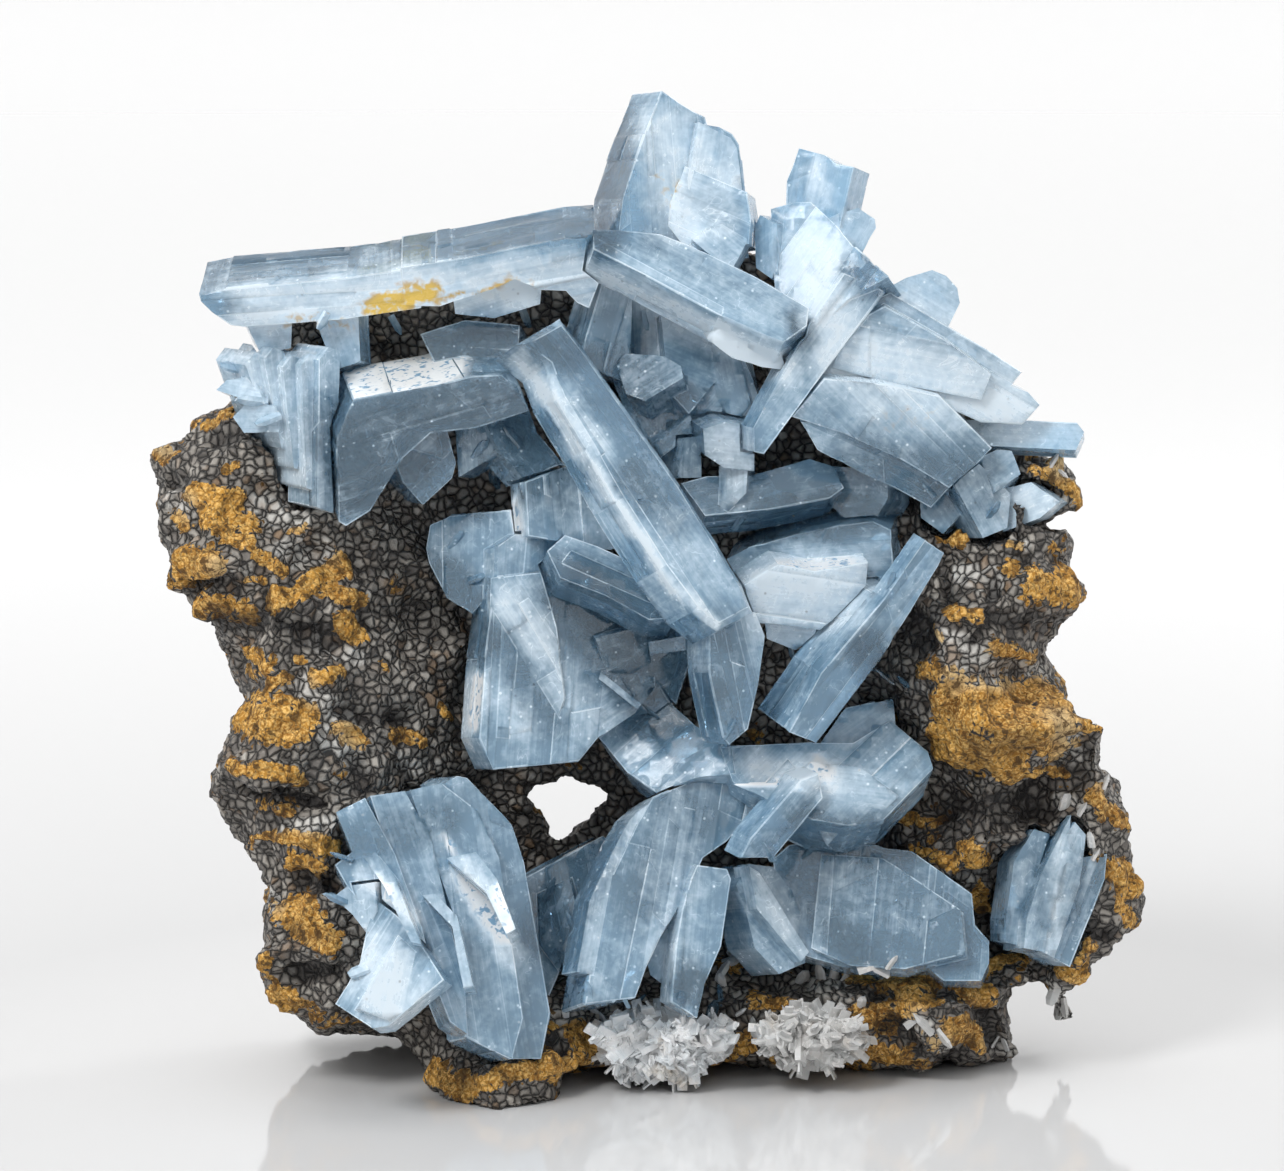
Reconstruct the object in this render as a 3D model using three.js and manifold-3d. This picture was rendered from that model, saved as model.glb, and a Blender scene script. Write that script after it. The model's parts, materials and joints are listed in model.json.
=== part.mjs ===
// A cabinet specimen of blue barite: tabular crystals on a dark botryoidal matrix with ochre crusts.
// Millimetres, +Z up, the front towards -Y. The origin is the middle of the bounding box, on the ground.
import * as THREE from "three";
import { mergeVertices } from "three/addons/utils/BufferGeometryUtils.js";
import Module from "manifold-3d";

const wasm = await Module();
wasm.setup();

// The specimen is drawn as a person sees it from the front: [x, h] is millimetres right of the middle
// and above the front foot, on a sheet held upright through the middle of the specimen.
const EYE_DISTANCE = 480;
const EYE_ELEVATION = 8;
const SHEET_MIDDLE = [-0.3, 51.25];
const SHEET_MIDDLE_HEIGHT = 49.54;

const CONTACT_GAP = 0.3;
const EDGE_BEVEL = 0.6;
const GROUND_HEIGHT = 0;
const NEEDLE_SIDES = 4;

// Colours and the roughness of each material
const [BLUE, WHITE, DARK_BROWN] = [0x8fa9bd, 0xe4ebef, 0x5a5148];
const [CRYSTAL_GLOSS, DRUSE_GLOSS, MATRIX_GLOSS] = [0.15, 0.3, 0.9];

// The net that the surface of the matrix is drawn on, and how far each knot strays
const CELL = 5.5;
const CELL_SWAY = 0.5;
const [NET_LEFT, NET_RIGHT] = [-54, 54];
const [NET_FOOT, NET_TOP] = [-7, 87];
const SHORE = [5, 9];
const LUMP_SPREAD = 0.86;
const BEYOND = 70;

const tip = THREE.MathUtils.degToRad(EYE_ELEVATION);
const right = new THREE.Vector3(1, 0, 0);
const up = new THREE.Vector3(0, Math.sin(tip), Math.cos(tip));
const ahead = new THREE.Vector3(0, Math.cos(tip), -Math.sin(tip));
const middle = new THREE.Vector3(SHEET_MIDDLE[0], 0, SHEET_MIDDLE_HEIGHT);
const eye = middle.clone().addScaledVector(ahead, -EYE_DISTANCE);

// The line of sight through one point of the sheet
function sight([x, h]) {
  const onSheet = middle.clone();
  onSheet.addScaledVector(right, x - SHEET_MIDDLE[0]);
  onSheet.addScaledVector(up, h - SHEET_MIDDLE[1]);
  return new THREE.Ray(eye, onSheet.sub(eye).normalize());
}

// The point seen at [x, h] that lies y mm behind the middle of the specimen
function atDepth(point, y) {
  const line = sight(point);
  return line.at((y - eye.y) / line.direction.y, new THREE.Vector3());
}

// A closed three.js geometry as a solid
function solid(geometry) {
  geometry.deleteAttribute("normal");
  geometry.deleteAttribute("uv");
  const closed = mergeVertices(geometry, 1e-4);
  const vertProperties = new Float32Array(closed.attributes.position.array);
  const triVerts = new Uint32Array(closed.index.array);
  return new wasm.Manifold(new wasm.Mesh({ numProp: 3, vertProperties, triVerts }));
}

function joined(solids) {
  return solids.reduce((whole, next) => whole.add(next));
}

// An outline moved outwards by a margin at every corner
function widened(outline, margin) {
  const round = THREE.ShapeUtils.isClockWise(outline) ? [...outline].reverse() : outline;
  return round.map((corner, i) => {
    const before = round[(i + round.length - 1) % round.length];
    const after = round[(i + 1) % round.length];
    const sides = [corner.clone().sub(before), after.clone().sub(corner)];
    const [first, second] = sides.map((side) => new THREE.Vector2(side.y, -side.x).normalize());
    const mitre = margin / Math.max(1 + first.dot(second), 0.5);
    return corner.clone().add(first.add(second).multiplyScalar(mitre));
  });
}

// A tabular crystal. Its front face is seen as the outline `face`, lies `depth` behind the middle of the
// specimen, and is turned right and tilted up by the two angles. The crystal runs `thick` mm back.
function tablet({ face, depth, turn = 0, tilt = 0, thick, bevel = 0 }, margin = 0) {
  const facing = right.clone().multiplyScalar(Math.sin(THREE.MathUtils.degToRad(turn)));
  facing.addScaledVector(ahead, -Math.cos(THREE.MathUtils.degToRad(turn)));
  facing.multiplyScalar(Math.cos(THREE.MathUtils.degToRad(tilt)));
  facing.addScaledVector(up, Math.sin(THREE.MathUtils.degToRad(tilt)));
  const centre = [0, 1].map((k) => face.reduce((sum, point) => sum + point[k], 0) / face.length);
  const origin = atDepth(centre, depth);
  const plane = new THREE.Plane().setFromNormalAndCoplanarPoint(facing, origin);
  const across = right.clone().projectOnPlane(facing).normalize();
  const along = facing.clone().cross(across);
  const place = new THREE.Matrix4().makeBasis(across, along, facing).setPosition(origin);
  const flat = place.clone().invert();
  const corners = face.map((point) => {
    const corner = sight(point).intersectPlane(plane, new THREE.Vector3()).applyMatrix4(flat);
    return new THREE.Vector2(corner.x, corner.y);
  });
  const geometry = new THREE.ExtrudeGeometry(new THREE.Shape(widened(corners, margin)), {
    depth: thick - 2 * bevel + 2 * margin,
    bevelEnabled: bevel > 0,
    bevelThickness: bevel,
    bevelSize: bevel,
    bevelOffset: -bevel,
    bevelSegments: 1,
  });
  geometry.translate(0, 0, bevel - thick - margin);
  return solid(geometry.applyMatrix4(place));
}

// A pointed needle of the druse, four-sided
function needle({ foot, depth, length, width, lean, nod }, margin = 0) {
  const geometry = new THREE.ConeGeometry(width / 2 + margin, length + margin, NEEDLE_SIDES);
  geometry.translate(0, (length + margin) / 2, 0);
  geometry.rotateX(Math.PI / 2 + THREE.MathUtils.degToRad(nod));
  geometry.rotateY(THREE.MathUtils.degToRad(lean));
  const at = atDepth(foot, depth);
  return solid(geometry.translate(at.x, at.y, at.z));
}

// The low white crust that the needles of a druse stand on
function crust({ centre, depth, halfSizes: [wide, deep, high] }, margin = 0) {
  const geometry = new THREE.OctahedronGeometry(1, 1);
  geometry.scale(wide + margin, deep + margin, high + margin);
  const at = atDepth(centre, depth);
  return solid(geometry.translate(at.x, at.y, at.z));
}

function crystal(piece, margin = 0) {
  if (piece.face) return tablet(piece, margin);
  return piece.foot ? needle(piece, margin) : crust(piece, margin);
}

// A closed body between a front and a back sheet that share their triangles; `rim` runs round both
function bodyBetween(front, back, triangles, rim) {
  const count = front.length;
  const faces = triangles.flatMap(([a, b, c]) => [a, b, c, a + count, c + count, b + count]);
  rim.forEach((here, i) => {
    const next = rim[(i + 1) % rim.length];
    faces.push(here, here + count, next, next, here + count, next + count);
  });
  const vertProperties = new Float32Array([...front, ...back].flatMap((point) => point.toArray()));
  return new wasm.Manifold(new wasm.Mesh({ numProp: 3, vertProperties, triVerts: new Uint32Array(faces) }));
}

// All the space that is seen from the front inside the outline
function sightPrism(outline) {
  const flat = outline.map((point) => new THREE.Vector2(...point));
  const round = THREE.ShapeUtils.isClockWise(flat) ? flat.reverse() : flat;
  const [front, back] = [-BEYOND, BEYOND].map((y) => round.map((point) => atDepth(point.toArray(), y)));
  const triangles = THREE.ShapeUtils.triangulateShape(round, []);
  return bodyBetween(front, back, triangles, [...round.keys()]);
}

// How far back the surface of the matrix lies at [x, h]: side -1 is its front, side 1 its back
function surfaceDepth([x, h], side) {
  const depths = LUMPS.map(([lumpX, lumpH, y, wide, high, deep]) => {
    const reach = 1 - ((x - lumpX) / (LUMP_SPREAD * wide)) ** 2 - ((h - lumpH) / (LUMP_SPREAD * high)) ** 2;
    return reach > 0 ? y + side * deep * Math.sqrt(reach) : side * -BEYOND;
  });
  return side < 0 ? Math.min(SHORE[0], ...depths) : Math.max(SHORE[1], ...depths);
}

// The lumps of the matrix as one body: a net of cells in front and one behind, joined at the rim
function lumpyBody() {
  const columns = Math.round((NET_RIGHT - NET_LEFT) / CELL);
  const rows = Math.round((NET_TOP - NET_FOOT) / CELL);
  const knots = [];
  for (let row = 0; row <= rows; row += 1) {
    for (let column = 0; column <= columns; column += 1) {
      const sway = CELL_SWAY * Math.sin(5 * row + 3 * column);
      const rise = CELL_SWAY * Math.cos(4 * column - 2 * row);
      knots.push([NET_LEFT + column * CELL + sway, NET_FOOT + row * CELL + rise]);
    }
  }
  const index = (column, row) => row * (columns + 1) + column;
  const triangles = [];
  for (let row = 0; row < rows; row += 1) {
    for (let column = 0; column < columns; column += 1) {
      const [a, b] = [index(column, row), index(column + 1, row)];
      const [c, d] = [index(column + 1, row + 1), index(column, row + 1)];
      triangles.push([a, b, c], [a, c, d]);
    }
  }
  const rim = [];
  for (let column = 0; column < columns; column += 1) rim.push(index(column, 0));
  for (let row = 0; row < rows; row += 1) rim.push(index(columns, row));
  for (let column = columns; column > 0; column -= 1) rim.push(index(column, rows));
  for (let row = rows; row > 0; row -= 1) rim.push(index(0, row));
  const [front, back] = [-1, 1].map((side) => knots.map((knot) => atDepth(knot, surfaceDepth(knot, side))));
  return bodyBetween(front, back, triangles, rim);
}

// The crystals, one function for each group that is grown together, from the front of the pile to its back

function longBlade() {
  return [
    {
      face: [[-12.6, 75.5], [-9.8, 73.2], [-8.6, 70], [-5.6, 65.1], [-2.6, 59.8], [1.7, 53], [4.9, 48.7],
        [7.4, 46.8], [11, 48.7], [9.9, 51.4], [7.4, 55.6], [3.8, 61.3], [-1.3, 68.5], [-5.8, 74.9],
        [-8.3, 78.1]],
      depth: -14, turn: 26, tilt: 14, thick: 6.5, bevel: EDGE_BEVEL,
    },
    {
      face: [[6.4, 47.8], [6.4, 42.5], [7.8, 36], [8.4, 35.3], [10.3, 36.9], [11.3, 41.4], [12, 46.2],
        [11, 48.6]],
      depth: -13, turn: 20, thick: 6,
    },
    { face: [[0.3, 53.2], [2.9, 50.9], [5, 48.4], [3.3, 47.4], [1.5, 50.5]], depth: -12, thick: 2 },
  ];
}

function topDiagonalBlade() {
  return [
    {
      face: [[-5.2, 86.8], [-2.6, 86.8], [1.5, 86.4], [4.4, 85.3], [11.1, 82.1], [16.4, 79], [16.2, 77.2],
        [13.8, 75.5], [11.7, 76.3], [7.4, 78.3], [0, 82.3], [-5.2, 84.9]],
      depth: -9, turn: 12, tilt: 24, thick: 5.5,
    },
    {
      face: [[8.7, 78], [13.4, 75.4], [14.1, 72.8], [11.7, 73.1], [8.7, 74], [6.2, 75.9]],
      depth: -8, turn: 8, tilt: -20, thick: 3,
    },
  ];
}

function rightDiagonalBlade() {
  return [
    {
      face: [[14.4, 36.6], [17.1, 35.5], [23.7, 44.1], [29.3, 53.2], [29.9, 54.5], [28, 55.8],
        [26.2, 53.2], [23.9, 50], [17.6, 42.5]],
      depth: -11, turn: 23, tilt: -16, thick: 2.6,
    },
    {
      face: [[13.9, 37], [16.6, 36.2], [22.8, 45], [25.6, 50.2], [23.9, 49.8], [17.6, 42.4]],
      depth: -10.6, turn: 23, tilt: -16, thick: 6.4,
    },
  ];
}

function lowerLeftBlades() {
  return [
    {
      face: [[-19.9, 31.5], [-18.8, 32.2], [-17.8, 32], [-13.3, 27.4], [-12.1, 23.6], [-11, 16.9],
        [-9.5, 8.6], [-10.4, 3.9], [-13.3, 3.9], [-13.6, 17]],
      depth: -13, turn: 24, tilt: 4, thick: 7,
    },
    {
      face: [[-23.5, 30.8], [-20.3, 31.5], [-16.7, 28.7], [-14.6, 24], [-12.2, 8], [-13.3, 3.9],
        [-17.8, 6.1], [-19, 18]],
      depth: -16, turn: 18, tilt: 8, thick: 7,
    },
    {
      face: [[-27.5, 30.2], [-24, 30.7], [-21.4, 26], [-18, 11], [-17.8, 6.4], [-19.5, 7.6],
        [-22.5, 15]],
      depth: -18, turn: 12, tilt: 10, thick: 7,
    },
    {
      face: [[-30.9, 28.6], [-28, 30], [-25, 24.4], [-22.3, 17], [-20.9, 11], [-24, 14.5], [-29.7, 21],
        [-31, 23.3], [-29.3, 24.6]],
      depth: -19, turn: 2, tilt: 12, thick: 6,
    },
    {
      face: [[-19.9, 24], [-16.9, 24.6], [-14.8, 21.9], [-12.9, 16.9], [-13.9, 16.4], [-15.9, 20.6]],
      depth: -19, turn: -6, tilt: 18, thick: 4,
    },
    {
      face: [[-22.3, 20.3], [-20.9, 20.4], [-18.8, 18.2], [-17.2, 11.2], [-18.2, 11], [-19.3, 17.2]],
      depth: -21, turn: -4, tilt: 16, thick: 4,
    },
    {
      face: [[-28.3, 24.4], [-27, 24.6], [-25.1, 22.3], [-22.4, 15.4], [-23.4, 15.6], [-26, 21]],
      depth: -22, turn: -6, tilt: 14, thick: 4,
    },
  ];
}

function lowerLeftFan() {
  return [
    {
      face: [[-27.8, 17], [-26.8, 19.8], [-24.5, 18], [-22, 14.8], [-20.1, 11.8], [-23.3, 9.2],
        [-25.8, 7.2], [-27.3, 7], [-31, 9.4], [-28.5, 13.5]],
      depth: -22.5, turn: -12, tilt: 14, thick: 3.4,
    },
    {
      face: [[-26.6, 12.6], [-24.6, 16.2], [-21.4, 13], [-22.6, 9.6], [-25.6, 7.8], [-28.8, 9]],
      depth: -23.6, turn: 8, tilt: 10, thick: 2.4,
    },
    {
      face: [[-31.2, 20.1], [-29.7, 21.2], [-27, 21.6], [-26.8, 18.6], [-27.8, 16.4], [-29.3, 18.4]],
      depth: -19.5, turn: -20, tilt: 4, thick: 5,
    },
  ];
}

function lowerMiddleBlades() {
  return [
    {
      face: [[0.7, 30], [5.2, 31.9], [11, 31.8], [11.8, 29.8], [8.2, 25.7], [5.8, 24], [4.2, 20.5],
        [1.5, 16], [0.1, 13], [-1, 10], [-6, 9.4], [-5, 16], [-3.4, 22], [-0.8, 27.4]],
      depth: -11, turn: 16, tilt: 10, thick: 8.5,
    },
    {
      face: [[4.6, 21.9], [5.2, 23.3], [8.2, 22.9], [8.6, 21.9], [8, 17.8], [7.6, 15.2], [6, 11.4],
        [5.2, 8], [2.6, 9.6], [3.1, 15.5], [3.7, 18.9]],
      depth: -13, turn: 14, tilt: 4, thick: 4.6,
    },
    {
      face: [[-1.4, 28], [0.6, 29.6], [0.6, 25], [-2, 18], [-3.4, 12], [-6.8, 12.6], [-5.5, 19.9],
        [-2.7, 25.7]],
      depth: -12.4, turn: 24, tilt: 8, thick: 4,
    },
    { face: [[2, 17.4], [2.9, 15.5], [2.2, 11], [0.5, 12.3], [0.1, 14]], depth: -10, turn: -15, thick: 3 },
  ];
}

function lowerRightFan() {
  return [
    {
      face: [[12.8, 23.9], [14.4, 25.3], [17.6, 25.8], [21.4, 25.9], [24, 25], [26.7, 24.7], [32.7, 20.4],
        [33, 17.3], [34.4, 15.7], [34.4, 13.5], [33.6, 11.7], [29.9, 11.7], [28.3, 13], [20.3, 13],
        [15.4, 14.4], [13.2, 19.5]],
      depth: -7, turn: -4, tilt: 12, thick: 5.5,
    },
    {
      face: [[17.6, 24.4], [23.8, 24], [26, 22.6], [31.6, 18.8], [32, 14.4], [26, 12.9], [20.6, 13.2],
        [16.6, 15]],
      depth: -8.4, turn: -8, tilt: 16, thick: 4,
    },
    {
      face: [[9.1, 21.3], [10.4, 23.4], [12.8, 23.1], [14.7, 20.7], [16.3, 16.5], [16, 13.5], [13.4, 12.4],
        [11, 15], [10, 19]],
      depth: -8, turn: 26, tilt: 6, thick: 6,
    },
    {
      face: [[10.4, 23.2], [11.4, 22.6], [16.4, 14.6], [15.6, 13.6], [11.2, 18.9]],
      depth: -9.6, turn: 30, tilt: 6, thick: 3,
    },
  ];
}

function shelfBlades() {
  return [
    {
      face: [[7.5, 35.1], [16.8, 35.5], [20.8, 35.5], [24.6, 37.8], [28.3, 34.6], [28.8, 33],
        [25.9, 30.1], [23.8, 27.9], [20.3, 27.2], [16.8, 27.8], [12, 30], [8.8, 31.6]],
      depth: -8, turn: 6, tilt: 26, thick: 7,
    },
    {
      face: [[8.8, 31.4], [15, 31.6], [16.6, 33.6], [21.6, 33], [25.4, 30.2], [23.4, 28.2], [20.3, 27.6],
        [16.8, 28.2], [12, 30]],
      depth: -9.4, turn: 4, tilt: 14, thick: 5,
    },
    {
      face: [[-4.6, 36], [-0.7, 39.3], [2.2, 39.8], [5, 37.3], [8.5, 35.4], [9, 32.5], [5, 32],
        [1.2, 30.5], [-1.8, 32.6]],
      depth: -6, turn: -14, tilt: 24, thick: 5.5,
    },
    { face: [[16.8, 34.5], [20, 38.9], [24.8, 39.9], [25.1, 37], [22, 34]], depth: -4, tilt: 8, thick: 6 },
    {
      face: [[17.3, 32.5], [17.8, 30], [12.8, 24], [9.5, 24], [10.5, 26], [13.5, 29.5], [15.5, 31.8]],
      depth: -12.5, turn: 22, tilt: -8, thick: 4,
    },
    { face: [[16.6, 28.2], [20.3, 27.6], [18.2, 25.2]], depth: -9, thick: 3.5 },
  ];
}

function frostyPlate() {
  return [
    {
      face: [[-15, 55], [-13, 56.4], [-8, 56.5], [-5, 51], [0, 48], [1, 41], [-1, 38.5], [-4.7, 36],
        [-6.6, 33.7], [-15.2, 32.9], [-16.6, 36], [-16, 44], [-15.2, 50]],
      depth: -7, turn: 18, tilt: 2, thick: 6.5,
    },
    {
      face: [[-15.4, 52], [-10.4, 52.6], [-8.8, 47], [-8, 40], [-10, 34.4], [-14.8, 34], [-15.9, 40]],
      depth: -8.2, turn: 10, tilt: -3, thick: 4,
    },
    {
      face: [[-21.9, 55], [-21.5, 57.3], [-19.5, 58.2], [-13.4, 58.8], [-13, 56], [-15, 51], [-17.3, 48.4],
        [-19.8, 50], [-21.6, 53.5]],
      depth: -3, turn: -20, tilt: 6, thick: 7,
    },
    {
      face: [[-5, 46], [3, 48], [4.6, 44], [3, 39], [-2, 38]],
      depth: -4.5, turn: 16, tilt: -14, thick: 5,
    },
    { face: [[0.3, 45.6], [4.6, 46.3], [4.8, 44.9], [0.5, 44.3]], depth: -8, turn: -10, thick: 3 },
    { face: [[-4.4, 42.6], [-0.4, 39.4], [-0.8, 38.9], [-4.6, 41.9]], depth: -9.5, thick: 3.4 },
  ];
}

function crossBlade() {
  return [
    {
      face: [[-9.8, 54.7], [-8, 56.3], [-4.8, 55.2], [0.2, 52.9], [2.4, 49.6], [3, 48], [0.4, 47.8],
        [-3.9, 50.2], [-8.5, 52]],
      depth: -9.5, turn: 10, tilt: 22, thick: 4.6,
    },
  ];
}

function leftTab() {
  return [
    {
      face: [[-12, 61.6], [-8, 63.1], [-6, 62.5], [-4.4, 55], [-11.7, 56.2]],
      depth: -6.5, turn: 20, tilt: 2, thick: 4.5,
    },
    {
      face: [[-6.6, 62.9], [-2.3, 57.7], [-0.7, 55.6], [-3.5, 54.8], [-6, 55]],
      depth: -6, turn: 14, tilt: -6, thick: 4,
    },
  ];
}

function middleSlabs() {
  return [
    {
      face: [[9.9, 51.3], [13.3, 53.4], [17, 52.7], [22.3, 53.6], [22, 50.5], [20, 48.8], [17.5, 46.8],
        [11.3, 47.5], [10.3, 50]],
      depth: -7.5, turn: 10, tilt: -16, thick: 5,
    },
    {
      face: [[8.2, 53.9], [10.3, 55], [15.3, 56.4], [19.8, 57.3], [22.8, 57.7], [24.6, 56.8],
        [24.9, 52.1], [22.6, 51.3], [18, 50.5], [9.9, 50.8]],
      depth: -3.5, turn: -8, tilt: -14, thick: 7,
    },
    {
      face: [[12, 47.4], [17.2, 47], [16.5, 45.2], [15, 44.8], [12.2, 45.9]],
      depth: -6, tilt: -20, thick: 5,
    },
  ];
}

function upperRightBlades() {
  return [
    {
      face: [[19.9, 82.5], [23.9, 80.7], [20.8, 76.4], [17.4, 71.8], [14.5, 68], [11.9, 64.4],
        [10.9, 64.6], [10.8, 67], [16.5, 77.6]],
      depth: -8, turn: 14, tilt: -6, thick: 4.4,
    },
    {
      face: [[12.6, 88.9], [15.1, 89.6], [16.6, 89.6], [19.2, 87.2], [20.9, 85.1], [24.3, 82.1],
        [20.5, 80], [16.6, 76.4], [13.2, 78.5], [12.8, 84.7]],
      depth: -4.5, turn: -16, tilt: 14, thick: 6,
    },
    {
      face: [[15.4, 95], [17.9, 94.3], [19.2, 93.4], [20.9, 93.1], [20.2, 90], [19, 85], [14, 85],
        [14.2, 91.7], [14.8, 93.2]],
      depth: 0.5, turn: -22, tilt: 4, thick: 4.6,
    },
    {
      face: [[18.3, 87.9], [20, 88.6], [21.3, 89], [23, 87.9], [23.1, 87], [22.4, 85.7], [21.2, 83.6],
        [18.4, 83.6]],
      depth: -1, turn: 12, tilt: 6, thick: 4.6,
    },
    { face: [[11.5, 88.3], [11, 87.2], [11.1, 83], [13.4, 81.4], [13.2, 87.4]], depth: -3, turn: -30, thick: 5 },
  ];
}

function rightBlades() {
  return [
    {
      face: [[22, 82.5], [24.9, 80.3], [29.9, 77.4], [35.2, 74.2], [37.7, 72.6], [36.6, 71.2], [38.3, 70.6],
        [39.5, 69.3], [37.8, 67.4], [33.5, 67.6], [29.5, 69.4], [24, 70.8], [17.4, 71.8], [20.5, 76.4]],
      depth: -4, turn: 6, tilt: -8, thick: 7,
    },
    {
      face: [[20.6, 77.4], [24, 79.2], [30, 75.8], [34.6, 72.4], [33.6, 69.8], [29.5, 70.6], [24, 71.6],
        [18.6, 73]],
      depth: -5.2, turn: 2, tilt: -14, thick: 5,
    },
    {
      face: [[14.5, 68.2], [17.4, 72], [24, 71.4], [29.5, 70.2], [34.7, 65], [33.3, 63.5], [30.4, 61],
        [25.4, 64], [20, 66.4]],
      depth: -6, turn: 8, tilt: -16, thick: 6.5,
    },
    {
      face: [[15.6, 67.6], [20, 67.2], [25.6, 64.9], [30.8, 61.4], [28.6, 59], [25, 61], [21.5, 62.6],
        [17.2, 64.9]],
      depth: -5, turn: 8, tilt: -26, thick: 6.5,
    },
    {
      face: [[24.6, 81.2], [26.1, 82], [28.7, 82.8], [30.1, 82.2], [31.2, 81], [31.5, 79.5], [30, 76.4],
        [25, 78]],
      depth: 0, turn: 18, tilt: 8, thick: 5,
    },
    {
      face: [[30.4, 65.4], [31, 67.9], [43.3, 67.4], [43.9, 66.6], [43.1, 64.8]],
      depth: -1, turn: -6, tilt: 12, thick: 3.4,
    },
  ];
}

// Small pale crystals that fill the corner between the right blades and the matrix
function rightChips() {
  return [
    { face: [[30.9, 61.4], [33.4, 63.4], [36.6, 60.4], [36.2, 57], [33.8, 56]], depth: -3, turn: 20, thick: 5 },
    { face: [[35.4, 60.8], [38.6, 61.6], [41.4, 59.6], [39.5, 58], [35.8, 56.6]], depth: -2, turn: -18, thick: 4 },
    { face: [[27.4, 60.6], [29.6, 61.4], [31.8, 58.6], [29.8, 56.4], [27.6, 58]], depth: -1, turn: -12, thick: 5 },
    { face: [[33.4, 64], [36.4, 65.4], [37.6, 62.4], [35, 60.6]], depth: -2, turn: 8, tilt: 20, thick: 4 },
  ];
}

function crown() {
  return [
    {
      face: [[1.7, 100.7], [3.4, 99.5], [4.7, 98.7], [6, 98.1], [6.2, 97.3], [7.4, 97.1], [8.7, 96.4],
        [9.4, 95.3], [9.9, 91.3], [10.4, 84], [-2.4, 84], [-2.6, 86.8], [-2.2, 90], [0, 96.4]],
      depth: 0, turn: 23, tilt: -3, thick: 7.4,
    },
    {
      face: [[4.4, 92], [5.4, 97.6], [7.2, 96.7], [8.6, 96], [9.2, 95], [9.7, 91], [9.9, 86], [4.6, 86]],
      depth: -1.4, turn: 12, tilt: -2, thick: 4,
    },
    {
      face: [[2.3, 87.2], [2.5, 89.6], [4, 93.2], [6.2, 92.3], [10.2, 90.6], [10.6, 87.9], [10.4, 85.4],
        [4.5, 84.4]],
      depth: -3, turn: -12, tilt: 4, thick: 4.4,
    },
    { face: [[4.6, 85.9], [6.2, 87], [9.8, 87.8], [10.4, 86], [8.6, 82.6]], depth: -4.4, tilt: 22, thick: 3 },
  ];
}

function topLeftBars() {
  return [
    {
      face: [[-44.6, 80.4], [-44.4, 79.7], [-43.3, 78.6], [-41.4, 77.3], [-40.1, 77.1], [-29.9, 77.9],
        [-22.4, 79], [-21.4, 83.2], [-30, 82], [-42, 80.9]],
      depth: -5, turn: -2, tilt: -28, thick: 7.6,
    },
    {
      face: [[-24, 79.2], [-20.5, 79.2], [-18.4, 79.9], [-15.2, 80.9], [-13, 81.9], [-10.5, 80.8],
        [-7.9, 80.7], [-6.8, 79.5], [-5.6, 79], [-4.5, 81.8], [-5, 83.3], [-5, 86.2], [-8, 86],
        [-18, 84], [-24.4, 83]],
      depth: -6, turn: 2, tilt: -28, thick: 7.6,
    },
    {
      face: [[-19.4, 81.6], [-14, 83.4], [-10.2, 82.6], [-10.5, 79.4], [-15, 78], [-19, 78.4]],
      depth: -4.4, tilt: -18, thick: 5,
    },
    {
      face: [[-41, 79.6], [-35.2, 80.2], [-35.4, 75], [-38.4, 74.4]],
      depth: -2.6, turn: 10, tilt: -10, thick: 6,
    },
    { face: [[-33.9, 80.4], [-29, 80.8], [-28.6, 73.6], [-31, 72.8]], depth: -2.6, turn: -8, thick: 6 },
  ];
}

// Thin pale plates that stand side by side at the left
function leftStack() {
  const plates = 5;
  const fan = Array.from({ length: plates }, (_, i) => {
    const share = i / (plates - 1);
    const top = -39.9 + 7.4 * share;
    const foot = -37.6 + 5 * share;
    const low = 66.4 - 8 * share;
    const high = 74.6 + 0.5 * Math.sin(2 * i);
    return {
      face: [[top, high - 1.2], [top + 0.9, high], [top + 2, high - 0.4], [foot + 1.7, low], [foot, low + 0.6]],
      depth: -4 - 3 * share, turn: 30, tilt: -6, thick: 7,
    };
  });
  return [
    ...fan,
    {
      face: [[-42.9, 70.8], [-41.8, 71.8], [-39.2, 72.2], [-38, 69.4], [-40.5, 70]],
      depth: -4, turn: -24, tilt: 10, thick: 3,
    },
    {
      face: [[-41.2, 68.1], [-40.1, 66.5], [-36.6, 66.6], [-37, 69.2], [-39.7, 69.6]],
      depth: -5, turn: -14, tilt: -6, thick: 4,
    },
  ];
}

function leftBlock() {
  return [
    {
      face: [[-29.2, 69.8], [-20.9, 71.3], [-17.3, 72.2], [-13.2, 72.4], [-11.6, 68.7], [-16.9, 67],
        [-21.4, 66.5], [-24.2, 64], [-27.5, 58.7], [-29.9, 57.2], [-30.6, 57.6], [-30.8, 66]],
      depth: -9, turn: 10, tilt: -18, thick: 11,
    },
    {
      face: [[-25.4, 64.4], [-23, 67.8], [-20, 67.6], [-18.9, 63.5], [-19.3, 62], [-22.2, 59.3],
        [-24.2, 61.5]],
      depth: -6.4, turn: 16, tilt: -4, thick: 7,
    },
    {
      face: [[-22.5, 76.4], [-18, 77.8], [-12.5, 77.3], [-12.8, 73], [-20.5, 72.4]],
      depth: -2, turn: -6, tilt: 10, thick: 5,
    },
    {
      face: [[-16.6, 69], [-12, 70], [-10.8, 66.5], [-8, 63.3], [-12.3, 62.1], [-14.8, 65]],
      depth: -5, turn: 22, tilt: 12, thick: 4.4,
    },
    { face: [[-19, 68.6], [-15, 69], [-14.4, 64.6], [-18.6, 62.1]], depth: -5, turn: -16, thick: 5 },
  ];
}

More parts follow.
